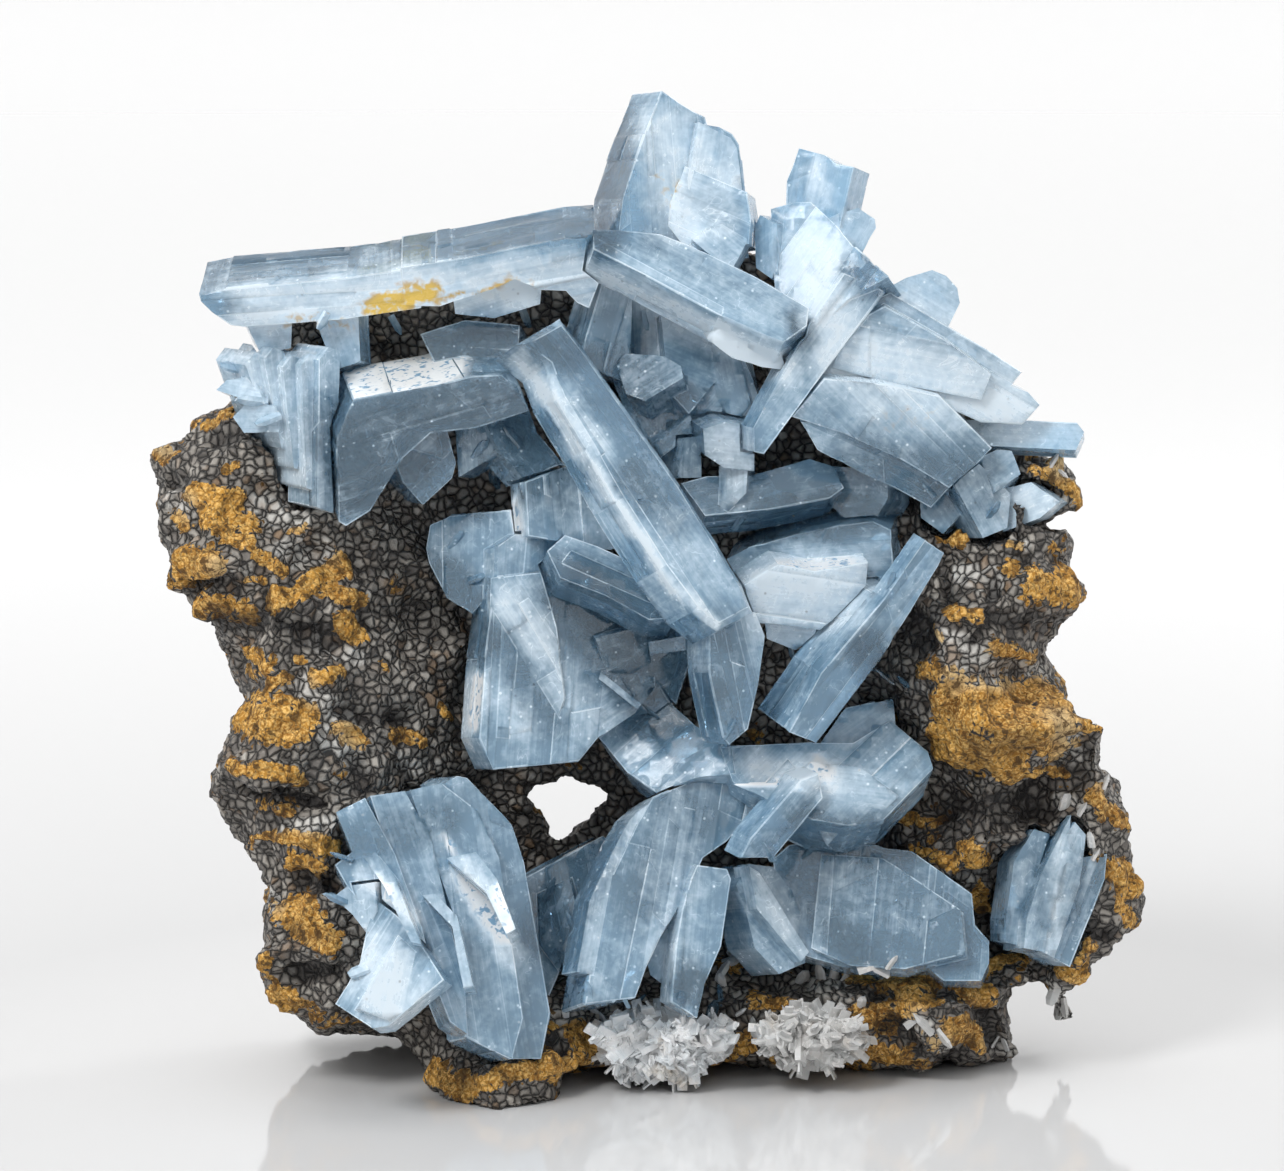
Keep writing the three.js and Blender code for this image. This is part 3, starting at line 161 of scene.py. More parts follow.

# Painted shade in hollows and under lumps; the same strokes also sink the rock there
SHADED_HOLLOW_STROKES = [
    (-36, 47.2, -31.6, 46.2, 1.4, 1), (-43.4, 47.4, -39, 48, 1.2, 0.9), (-45.4, 51.2, -42.4, 51.8, 0.6, 1),
    (-42.6, 66.4, -40.4, 67, 1.1, 0.9), (-47.8, 62, -46.2, 61.4, 0.7, 0.7), (-38, 50.4, -37.4, 48, 0.8, 0.8),
    (-30, 38.8, -24, 38, 0.8, 0.8), (-29, 33.4, -28.2, 30.6, 0.8, 0.8), (-39.6, 30.2, -33, 29.8, 0.6, 1),
    (-34.6, 21.8, -31.4, 21.6, 0.9, 1), (-34.6, 12.6, -30.8, 12, 0.8, 1), (-20.6, 8, -17.4, 5.8, 1.3, 1),
    (-14.6, 26.4, -11, 27, 1.4, 0.5), (-10, 5.4, -8.6, 5, 0.9, 0.9), (25, 48.4, 27.6, 46, 1.6, 1),
    (34.6, 51.6, 35.3, 50.6, 0.8, 1), (35, 48, 39.4, 47.2, 1.1, 0.9), (34.4, 49.8, 34.6, 47.2, 0.5, 1),
    (33.4, 35.6, 37.4, 36, 1.4, 0.45), (30.6, 32.8, 34, 33, 1, 0.4), (29.6, 29.6, 39.4, 29, 1.3, 0.95),
    (30, 27, 36, 27.6, 1.2, 0.6), (34.4, 7.6, 35.4, 5.6, 1, 1), (24.4, 6.8, 26.2, 5.4, 0.9, 0.9),
    (34.4, 17.4, 36, 16.6, 0.9, 1), (44.4, 17, 46.2, 16, 0.9, 1), (26.6, 3.6, 31, 3.4, 0.6, 0.8),
    (23, 9.4, 24, 10.4, 0.6, 0.8), (29.4, 53.6, 30.2, 50.4, 0.6, 0.7), (20, 27, 24, 24.6, 1.6, 0.8),
    (32.6, 45.6, 33.4, 46.4, 0.4, 0.8), (41.6, 46.8, 39, 48.2, 0.6, 0.8), (29.6, 44.6, 28, 39, 0.6, 0.5),
]

# Small blades as seen from the front: [x, h] of the foot, length and width in mm, and the angle they point to
BLUE_BLADES = [
    (23.2, 42.8, 3.4, 1.1, 152), (24.4, 41.8, 3, 1, 140), (26.2, 41.2, 2.4, 0.8, 130), (-2, 9.8, 3, 0.5, 112),
    (-1, 9.4, 2.4, 0.6, 45), (-5.6, 10.4, 2, 0.8, 100), (3.6, 9.6, 2, 1, 80), (6.6, 8.4, 2.4, 1.4, 70),
    (7.6, 10, 2.2, 1.2, 100), (-39, 69.6, 3, 2.2, 170), (-37.4, 68, 2.6, 2, 200), (-41, 73, 2.4, 1.4, 165),
    (9.4, 57.6, 2.4, 1.4, 60), (-15, 61.6, 2.4, 1.2, 100), (-19, 55.6, 2.2, 1.2, 60), (-17, 52, 2, 1.4, 20),
    (-13, 66, 2.6, 1.4, 130), (-16.6, 64.6, 2.4, 1.2, 60), (34.6, 58.4, 2.4, 1.2, 60), (28.4, 60.8, 2.6, 1.2, 130),
    (0.6, 38.6, 2.4, 0.8, 140), (2, 40.4, 2.6, 0.9, 120), (-1.6, 41, 3, 0.7, 125), (8.4, 36.6, 2.4, 1, 60),
    (14.6, 44.6, 2.2, 1, 100), (24.6, 51.4, 2, 0.9, 80), (25.4, 54.4, 2.2, 0.8, 95), (16.4, 24.6, 2.6, 1.2, 60),
    (12.4, 24.4, 2.4, 1.1, 120), (-9.6, 20.6, 2.6, 1.6, 70), (-7.4, 17.4, 2.4, 1.2, 110), (-30, 24, 2.4, 1.2, 160),
    (-30.6, 19.8, 2.6, 1.8, 150), (-28.4, 12.8, 2, 1.6, 200),
    (-32, 78, 2, 1.4, 240),
    (-25, 77.6, 2.2, 1.4, 300), (-12, 78.4, 2.4, 1.6, 290), (-7, 78.6, 2, 1.2, 250), (0, 78, 2, 1, 280),
]
WHITE_BLADES = [
    (15.6, 11.6, 2.2, 1.6, 70), (17.6, 12, 2.6, 1.3, 100), (18.8, 12, 2.4, 1.3, 76), (20, 12, 1.8, 1, 60),
    (22, 13, 2.2, 1.8, 20), (23.6, 12.8, 2.4, 1.6, 150), (24.6, 13.4, 1.6, 1.2, 60), (7.6, 12.4, 2.6, 2, 60),
    (8.4, 13.6, 2, 1.6, 20), (7.6, 11.4, 1.8, 1.4, 100), (8.6, 14.4, 1.4, 1.2, 80), (26.6, 7.6, 2.2, 1.6, 40),
    (28, 7.4, 3, 2, 130), (29.6, 6.2, 2.4, 1.6, 310), (40.9, 10.6, 2.2, 1.4, 250), (41.8, 9.4, 2.2, 1.5, 280),
    (42.6, 9, 1.8, 1.2, 300), (41.4, 8.8, 1.6, 1.3, 260),
    (40.8, 63.6, 1.6, 1.2, 60), (41.6, 62.6, 1.4, 1, 320), (42, 29.4, 1.8, 1.4, 80), (43.6, 28.8, 1.6, 1.3, 60),
    (44.6, 25.6, 1.6, 1.2, 100), (45, 24.2, 1.4, 1.1, 60), (35, 5.6, 1.8, 0.9, 60), (36, 5.2, 1.6, 0.8, 110),
    (-4, 7.6, 1.8, 1.2, 120), (-5, 8.6, 1.6, 1, 140), (-8, 8.4, 1.4, 1, 90),
    (46, 31.4, 1.6, 1.3, 70), (9.6, 8.6, 1.4, 1.1, 40), (10.8, 7.4, 1.3, 1, 100), (21.6, 9.4, 1.4, 1.1, 80),
]


def to_sheet(point):
    """Where a point of the frame is seen from the front: millimetres right of the middle, and above the foot."""
    line = point - EYE
    line *= EYE_DISTANCE / line.dot(EYE_AHEAD)
    return line.dot(EYE_RIGHT) / MM + SHEET_MIDDLE[0], line.dot(EYE_UP) / MM + SHEET_MIDDLE[1]


def sight(x, h):
    """The direction in which the eye sees the point [x, h] of the sheet."""
    right = (x - SHEET_MIDDLE[0]) * MM * EYE_RIGHT
    up = (h - SHEET_MIDDLE[1]) * MM * EYE_UP
    return (EYE_DISTANCE * EYE_AHEAD + right + up).normalized()


def stroke_strength(x, h, strokes):
    """The strongest of some strokes at [x, h]: its strength along its line, fading to nothing at its half width."""
    best = 0.0
    for x1, h1, x2, h2, half, strength in strokes:
        reach = half * 1.6
        if min(x1, x2) - reach > x or max(x1, x2) + reach < x or min(h1, h2) - reach > h or max(h1, h2) + reach < h:
            continue
        run_x, run_h = x2 - x1, h2 - h1
        share = ((x - x1) * run_x + (h - h1) * run_h) / (run_x * run_x + run_h * run_h)
        share = min(1.0, max(0.0, share))
        away = math.hypot(x - x1 - share * run_x, h - h1 - share * run_h) / half
        best = max(best, strength * min(1.0, max(0.0, 1.6 - away)))
    return best


class SpecimenCrystals(bpy.types.PropertyGroup):
    plate_width: bpy.props.FloatProperty(
        name="Plate width", description="Width of a growth plate", default=0.0022, unit="LENGTH"
    )
    plate_length: bpy.props.FloatProperty(
        name="Plate length", description="Length of a growth plate", default=0.013, unit="LENGTH"
    )
    terrace: bpy.props.FloatProperty(
        name="Terrace", description="Height of a growth terrace", default=0.0001, unit="LENGTH"
    )
    rim: bpy.props.FloatProperty(
        name="Rim", description="Width of the slope round a plate", default=0.00013, unit="LENGTH"
    )
    chip: bpy.props.FloatProperty(
        name="Chip", description="Depth of the chips along the edges", default=0.00022, unit="LENGTH"
    )
    clear_colour: bpy.props.FloatVectorProperty(
        name="Clear", description="Colour of the clear parts", default=(0.365, 0.62, 0.845), subtype="COLOR", size=3
    )
    # Whiter colour: the milky parts, and painted light on the front and lower faces
    milk_and_light_colour: bpy.props.FloatVectorProperty(
        name="Milk", description="Colour of the milky parts", default=(0.77, 0.885, 0.97), subtype="COLOR", size=3
    )
    # Deeper blue: the crystal's own colour, and painted shade on upper faces and where the dark rock shows through
    deep_and_shade_colour: bpy.props.FloatVectorProperty(
        name="Deep", description="Colour of the deep blue parts", default=(0.205, 0.36, 0.495), subtype="COLOR", size=3
    )
    absorption: bpy.props.FloatProperty(
        name="Depth of tint", description="How strongly the crystal tints light that crosses it", default=30.0
    )


class SpecimenMatrix(bpy.types.PropertyGroup):
    grain: bpy.props.FloatProperty(
        name="Grain", description="Size of the finest cell of the surface", default=0.00046, unit="LENGTH"
    )
    pebble: bpy.props.FloatProperty(
        name="Pebble", description="Width of a pebble of the botryoidal crust", default=0.00094, unit="LENGTH"
    )
    pebble_height: bpy.props.FloatProperty(
        name="Pebble height", description="How far a pebble stands out", default=0.00036, unit="LENGTH"
    )
    # Painted shade in the creases between the pebbles
    crease_shade: bpy.props.FloatVectorProperty(
        name="Dark", description="Colour between the pebbles", default=(0.016, 0.0145, 0.0135), subtype="COLOR", size=3
    )
    grey: bpy.props.FloatVectorProperty(
        name="Grey", description="Colour on the pebbles", default=(0.22, 0.198, 0.176), subtype="COLOR", size=3
    )
    ochre: bpy.props.FloatVectorProperty(
        name="Ochre", description="Colour of the crusts", default=(0.57, 0.285, 0.05), subtype="COLOR", size=3
    )


def select_only(obj):
    bpy.ops.object.select_all(action="DESELECT")
    obj.hide_set(False)
    obj.select_set(True)
    bpy.context.view_layer.objects.active = obj


def new_piece(name, mesh):
    piece = bpy.data.objects.new(name, mesh)
    bpy.context.scene.collection.objects.link(piece)
    return piece


def copy_of_node(node, name):
    """A copy of a CAD node's mesh with its corners merged, in the same place."""
    source = frame["nodes"][node]
    piece = new_piece(name, source.data.copy())
    piece.data.transform(source.matrix_world)
    piece.data.materials.clear()
    select_only(piece)
    bpy.ops.object.mode_set(mode="EDIT")
    bpy.ops.mesh.select_all(action="SELECT")
    bpy.ops.mesh.remove_doubles(threshold=2e-6)
    bpy.ops.object.mode_set(mode="OBJECT")
    return piece


def keep_as_piece(piece, node, material):
    piece.data.materials.clear()
    piece.data.materials.append(material)
    if node:
        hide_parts(node)
    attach(piece, "root")


def apply_modifier(piece, kind, name, **settings):
    select_only(piece)
    modifier = piece.modifiers.new(name, kind)
    for key, value in settings.items():
        setattr(modifier, key, value)
    bpy.ops.object.modifier_apply(modifier=name)


def stand_on_ground(vertices):
    for vertex in vertices:
        vertex.co.z = max(vertex.co.z, 0.0)


def float_attribute(mesh, name, values):
    mesh.attributes.new(name, "FLOAT", "POINT").data.foreach_set("value", values)


class NodeTree:
    """A material's nodes, with short calls to add and link them."""

    def __init__(self, name):
        self.material = bpy.data.materials.new(name)
        self.material.use_nodes = True
        self.nodes = self.material.node_tree.nodes
        self.links = self.material.node_tree.links
        self.shader = self.nodes["Principled BSDF"]
        self.output = self.nodes["Material Output"]

    def add(self, kind, **settings):
        node = self.nodes.new(kind)
        for key, value in settings.items():
            setattr(node, key, value)
        return node

    def link(self, source, target):
        self.links.new(source, target)

    def set(self, node, **values):
        for key, value in values.items():
            node.inputs[key.replace("_", " ")].default_value = value
        return node

    def mark(self, name):
        return self.add("ShaderNodeAttribute", attribute_name=name).outputs["Fac"]

    def noise(self, vector, scale, detail=3.0, roughness=0.5, distortion=0.0):
        node = self.add("ShaderNodeTexNoise")
        self.set(node, Scale=scale, Detail=detail, Roughness=roughness, Distortion=distortion)
        self.link(vector, node.inputs["Vector"])
        return node.outputs["Fac"]

    def cells(self, vector, scale, feature="F1", randomness=1.0):
        node = self.add("ShaderNodeTexVoronoi", feature=feature)
        self.set(node, Scale=scale, Randomness=randomness)
        self.link(vector, node.inputs["Vector"])
        return node

    def mapping(self, vector, scale, rotation=(0, 0, 0), location=(0, 0, 0)):
        node = self.add("ShaderNodeMapping")
        self.set(node, Scale=scale, Rotation=rotation, Location=location)
        self.link(vector, node.inputs["Vector"])
        return node.outputs["Vector"]

    def ramp(self, value, low, high, to_low=0.0, to_high=1.0):
        node = self.add("ShaderNodeMapRange")
        node.inputs["From Min"].default_value = low
        node.inputs["From Max"].default_value = high
        node.inputs["To Min"].default_value = to_low
        node.inputs["To Max"].default_value = to_high
        self.link(value, node.inputs["Value"])
        return node.outputs["Result"]

    def math(self, operation, first, second):
        node = self.add("ShaderNodeMath", operation=operation)
        for socket, value in zip(node.inputs, (first, second)):
            if isinstance(value, float):
                socket.default_value = value
            else:
                self.link(value, socket)
        return node.outputs["Value"]

    def sum(self, *values):
        total = values[0]
        for value in values[1:]:
            total = self.math("ADD", total, value)
        return total

    def times(self, *values):
        total = values[0]
        for value in values[1:]:
            total = self.math("MULTIPLY", total, value)
        return total

    def blend(self, share, first, second, mode="MIX"):
        node = self.add("ShaderNodeMix", data_type="RGBA", blend_type=mode)
        self.link(share, node.inputs["Factor"])
        for socket, value in ((node.inputs[6], first), (node.inputs[7], second)):
            if isinstance(value, bpy.types.NodeSocket):
                self.link(value, socket)
            else:
                socket.default_value = (*value, 1.0)
        return node.outputs[2]

    def bump(self, height, strength, distance, below=None):
        node = self.add("ShaderNodeBump")
        self.set(node, Strength=strength, Distance=distance)
        self.link(height, node.inputs["Height"])
        if below is not None:
            self.link(below, node.inputs["Normal"])
        return node.outputs["Normal"]


def crystal_material(settings):
    tree = NodeTree("blue barite")
    place = tree.add("ShaderNodeTexCoord").outputs["Object"]
    growth = tree.add("ShaderNodeUVMap", uv_map="growth").outputs["UV"]
    milk_and_light_map, deep_and_shade_map, rim_highlight_map = tree.mark("milk"), tree.mark("deep"), tree.mark("rim")
    stain_map, glint_map, tone = tree.mark("stain"), tree.mark("glint"), tree.mark("tone")

    striae = tree.noise(tree.mapping(growth, (110, 2400, 1)), 1.0, 2.0, 0.6)
    clouds = tree.noise(place, 380.0, 3.0, 0.65, 0.6)
    fine_clouds = tree.noise(place, 1100.0, 2.0, 0.6, 0.4)
    bends = tree.noise(tree.mapping(growth, (330, 420, 1)), 1.0, 2.0, 0.6, 0.8)
    cracks = tree.ramp(tree.math("ABSOLUTE", tree.math("SUBTRACT", bends, 0.5), 0.0), 0.0, 0.009, 1.0, 0.0)
    cracks = tree.times(cracks, tree.ramp(clouds, 0.44, 0.56))
    dots = tree.cells(place, 1050.0)
    pick = tree.add("ShaderNodeSeparateColor")
    tree.link(dots.outputs["Color"], pick.inputs["Color"])
    near_dot = tree.ramp(dots.outputs["Distance"], 0.07, 0.2, 1.0, 0.0)
    flecks = tree.times(near_dot, tree.ramp(pick.outputs["Red"], 0.62, 0.7))
    pits = tree.times(near_dot, tree.ramp(pick.outputs["Green"], 0.9, 0.95))

    # Whiteness: the crystal's milky texture, plus painted light from the whiter strokes
    milk = tree.sum(
        tree.ramp(milk_and_light_map, 0.0, 1.0, 0.04, 0.8),
        tree.ramp(clouds, 0.36, 0.72, -0.07, 0.2),
        tree.ramp(fine_clouds, 0.36, 0.72, -0.08, 0.18),
        tree.ramp(striae, 0.3, 0.75, -0.08, 0.16),
        tree.ramp(tone, -1.0, 1.0, -0.13, 0.13),
        tree.ramp(deep_and_shade_map, 0.0, 1.0, 0.0, -0.28),
        # Painted highlight along the plate rims and on the small faces
        tree.times(rim_highlight_map, 0.55),
        tree.times(cracks, 0.3),
        tree.times(flecks, 0.65),
    )
    milk = tree.ramp(milk, 0.0, 1.0)
    # Deeper blue, partly painted shade, over the clear blue
    colour = tree.blend(tree.ramp(deep_and_shade_map, 0.0, 1.0), settings.clear_colour, settings.deep_and_shade_colour)
    # Milk, partly painted light, over the blue
    colour = tree.blend(milk, colour, settings.milk_and_light_colour)
    specks = tree.ramp(tree.sum(fine_clouds, tree.ramp(stain_map, 0.0, 1.0, -0.3, 0.12)), 0.36, 0.58)
    rust = tree.blend(tree.ramp(stain_map, 0.4, 0.9), (0.40, 0.25, 0.10), (0.78, 0.50, 0.02))
    colour = tree.blend(tree.times(specks, tree.ramp(stain_map, 0.05, 0.7, 0.0, 0.92)), colour, rust)
    colour = tree.blend(tree.times(pits, 0.5), colour, (0.10, 0.12, 0.14))
    # Painted highlight: the glint strokes turn the colour white with dark blue dots and stop light passing through
    spots = tree.times(near_dot, tree.ramp(pick.outputs["Blue"], 0.5, 0.6))
    spots = tree.ramp(tree.sum(spots, tree.ramp(fine_clouds, 0.56, 0.64)), 0.0, 1.0)
    glare = tree.blend(spots, (0.95, 0.98, 1.0), (0.24, 0.42, 0.60))
    colour = tree.blend(tree.ramp(glint_map, 0.0, 0.7), colour, glare)
    tree.link(colour, tree.shader.inputs["Base Color"])
    solid = tree.sum(tree.ramp(milk, 0.0, 0.8, 0.4, 0.9), tree.times(deep_and_shade_map, -0.2), tree.times(stain_map, 0.4), glint_map)
    tree.link(tree.ramp(solid, 0.0, 1.0, 1.0, 0.0), tree.shader.inputs["Transmission Weight"])
    tree.link(tree.ramp(milk, 0.0, 1.0, 0.06, 0.3), tree.shader.inputs["Roughness"])
    tree.set(tree.shader, IOR=1.64)
    tree.link(tree.bump(bends, 0.2, 0.0002), tree.shader.inputs["Normal"])
    inside = tree.add("ShaderNodeVolumeAbsorption")
    tree.set(inside, Color=(0.38, 0.64, 0.84, 1.0), Density=settings.absorption)
    tree.link(inside.outputs["Volume"], tree.output.inputs["Volume"])
    return tree.material


def druse_material():
    tree = NodeTree("white druse")
    place = tree.add("ShaderNodeTexCoord").outputs["Object"]
    clouds = tree.noise(place, 600.0, 3.0)
    rust = tree.ramp(tree.noise(place, 300.0, 3.0), 0.58, 0.72, 0.0, 0.45)
    colour = tree.blend(tree.ramp(clouds, 0.35, 0.65), (0.88, 0.93, 0.96), (0.99, 0.99, 0.99))
    colour = tree.blend(rust, colour, (0.62, 0.50, 0.34))
    side = tree.add("ShaderNodeSeparateXYZ")
    tree.link(place, side.inputs["Vector"])
    colour = tree.blend(tree.ramp(side.outputs["X"], 0.006, 0.012, 0.0, 0.55), colour, (0.50, 0.475, 0.44))
    tree.link(colour, tree.shader.inputs["Base Color"])
    tree.link(tree.ramp(clouds, 0.3, 0.7, 0.08, 0.35), tree.shader.inputs["Roughness"])
    tree.link(tree.ramp(clouds, 0.3, 0.7, 0.2, 0.05), tree.shader.inputs["Transmission Weight"])
    tree.set(tree.shader, IOR=1.64)
    tree.link(tree.bump(tree.noise(place, 3000.0, 2.0), 0.3, 0.0002), tree.shader.inputs["Normal"])
    return tree.material


def matrix_material(settings):
    tree = NodeTree("botryoidal matrix")
    skin = tree.add("ShaderNodeAttribute", attribute_name="skin").outputs["Vector"]
    ochre, pale, gloom, hollow = tree.mark("ochre"), tree.mark("pale"), tree.mark("gloom"), tree.mark("hollow")
    place = tree.add("ShaderNodeTexCoord").outputs["Object"]
    fine = tree.noise(place, 3000.0, 2.0, 0.6)
    crumbs = tree.noise(place, 900.0, 3.0, 0.6)
    patches = tree.noise(place, 170.0, 3.0, 0.6)
    sway = tree.add("ShaderNodeVectorMath", operation="ADD")
    tree.link(skin, sway.inputs[0])
    tree.link(tree.times(crumbs, 0.5), sway.inputs[1])
    skin = sway.outputs["Vector"]
    pebbles = tree.cells(skin, 1.0, "F1", PEBBLE_RANDOMNESS)
    edge = tree.cells(skin, 1.0, "DISTANCE_TO_EDGE", PEBBLE_RANDOMNESS).outputs["Distance"]
    shades = tree.add("ShaderNodeSeparateColor")
    tree.link(pebbles.outputs["Color"], shades.inputs["Color"])

    stone = tree.blend(shades.outputs["Red"], settings.grey, (0.46, 0.43, 0.385))
    stone = tree.blend(tree.ramp(shades.outputs["Green"], 0.5, 1.0, 0.0, 0.8), stone, (0.085, 0.077, 0.072))
    stone = tree.blend(tree.ramp(crumbs, 0.5, 0.8), stone, (0.42, 0.39, 0.35))
    whitish = tree.ramp(tree.sum(pale, tree.ramp(patches, 0.3, 0.75, -0.45, 0.35)), 0.25, 0.6, 0.0, 0.9)
    stone = tree.blend(whitish, stone, (0.66, 0.64, 0.60))
    rusty = tree.ramp(tree.sum(tree.ramp(patches, 0.5, 0.75), tree.ramp(shades.outputs["Blue"], 0.6, 1.0)), 0.7, 1.2)
    stone = tree.blend(tree.times(rusty, 0.6), stone, (0.26, 0.14, 0.05))
    # Painted shade: dark in the creases, lighter towards each pebble's middle, so the pebbles look round; the same mask
    # bumps them
    dome_and_shade = tree.math("POWER", tree.ramp(edge, 0.02, 0.24), 0.7)
    stone = tree.blend(dome_and_shade, settings.crease_shade, stone)

    holes = tree.ramp(tree.sum(crumbs, tree.times(fine, 0.5)), 0.775, 0.865)
    rust = tree.blend(tree.ramp(patches, 0.3, 0.6), (0.25, 0.105, 0.018), settings.ochre)
    rust = tree.blend(tree.ramp(fine, 0.42, 0.62), rust, (0.92, 0.58, 0.19))
    rust = tree.blend(tree.times(pale, 0.7), rust, (0.72, 0.56, 0.32))
    rust = tree.blend(tree.times(holes, 0.85), rust, (0.055, 0.024, 0.008))
    # Painted shade on the crusts at the pebble borders
    rust = tree.blend(tree.ramp(edge, 0.0, 0.12, 0.45, 0.0), rust, (0.07, 0.03, 0.008))
    coat = tree.sum(ochre, tree.ramp(crumbs, 0.2, 0.8, -0.5, 0.5), tree.ramp(edge, 0.0, 0.25, -0.2, 0.05))
    coat = tree.ramp(coat, 0.47, 0.56)
    colour = tree.blend(coat, stone, rust)
    # Painted shade in hollows, between knobs and under lumps
    colour = tree.blend(tree.times(hollow, 0.8), colour, (0.012, 0.011, 0.012))
    # Painted shade on the rock behind the crystals
    colour = tree.blend(gloom, colour, (0.045, 0.036, 0.030))
    tree.link(colour, tree.shader.inputs["Base Color"])
    tree.link(tree.ramp(tree.sum(fine, coat), 0.3, 1.4, 0.45, 0.95), tree.shader.inputs["Roughness"])
    waves = tree.sum(
        tree.times(dome_and_shade, tree.ramp(coat, 0.0, 1.0, 1.0, 0.35)), tree.times(crumbs, 0.9), tree.times(fine, 0.25)
    )
    tree.link(tree.bump(waves, 0.9, settings.pebble_height), tree.shader.inputs["Normal"])
    return tree.material


def floor_material():
    tree = NodeTree("pale table")
    place = tree.add("ShaderNodeTexCoord").outputs["Object"]
    far = tree.add("ShaderNodeVectorMath", operation="LENGTH")
    tree.link(place, far.inputs[0])
    # Painted shadow: the table is darker round the specimen, pale far off
    tone = tree.sum(tree.ramp(far.outputs["Value"], 0.09, 0.45), tree.ramp(tree.noise(place, 3.0, 1.0), 0.0, 1.0, 0.0, 0.04))
    colour = tree.blend(tone, (0.60, 0.60, 0.603), (0.95, 0.95, 0.952))
    # Painted light: lighter again just round the specimen's foot
    colour = tree.blend(tree.ramp(far.outputs["Value"], 0.02, 0.085, 1.0, 0.0), colour, (0.77, 0.77, 0.772))
    tree.link(colour, tree.shader.inputs["Base Color"])
    tree.set(tree.shader, Roughness=0.07)
    tree.shader.inputs["Specular IOR Level"].default_value = 0.3
    return tree.material


def sliced(work, faces, place, normal):
    """The faces after a cut along a plane that crosses only these faces."""
    parts = dict.fromkeys(faces)
    for face in faces:
        parts.update(dict.fromkeys(face.edges))
        parts.update(dict.fromkeys(face.verts))
    result = bmesh.ops.bisect_plane(work, geom=list(parts), dist=1e-6, plane_co=place, plane_no=normal)
    return [part for part in result["geom"] if isinstance(part, bmesh.types.BMFace)]


def face_dice(face, salt):
    """Chances that belong to a face, whatever order the faces come in."""
    return Random(f"{salt} {[round(value * 1e6) for value in face.calc_center_median()]}")


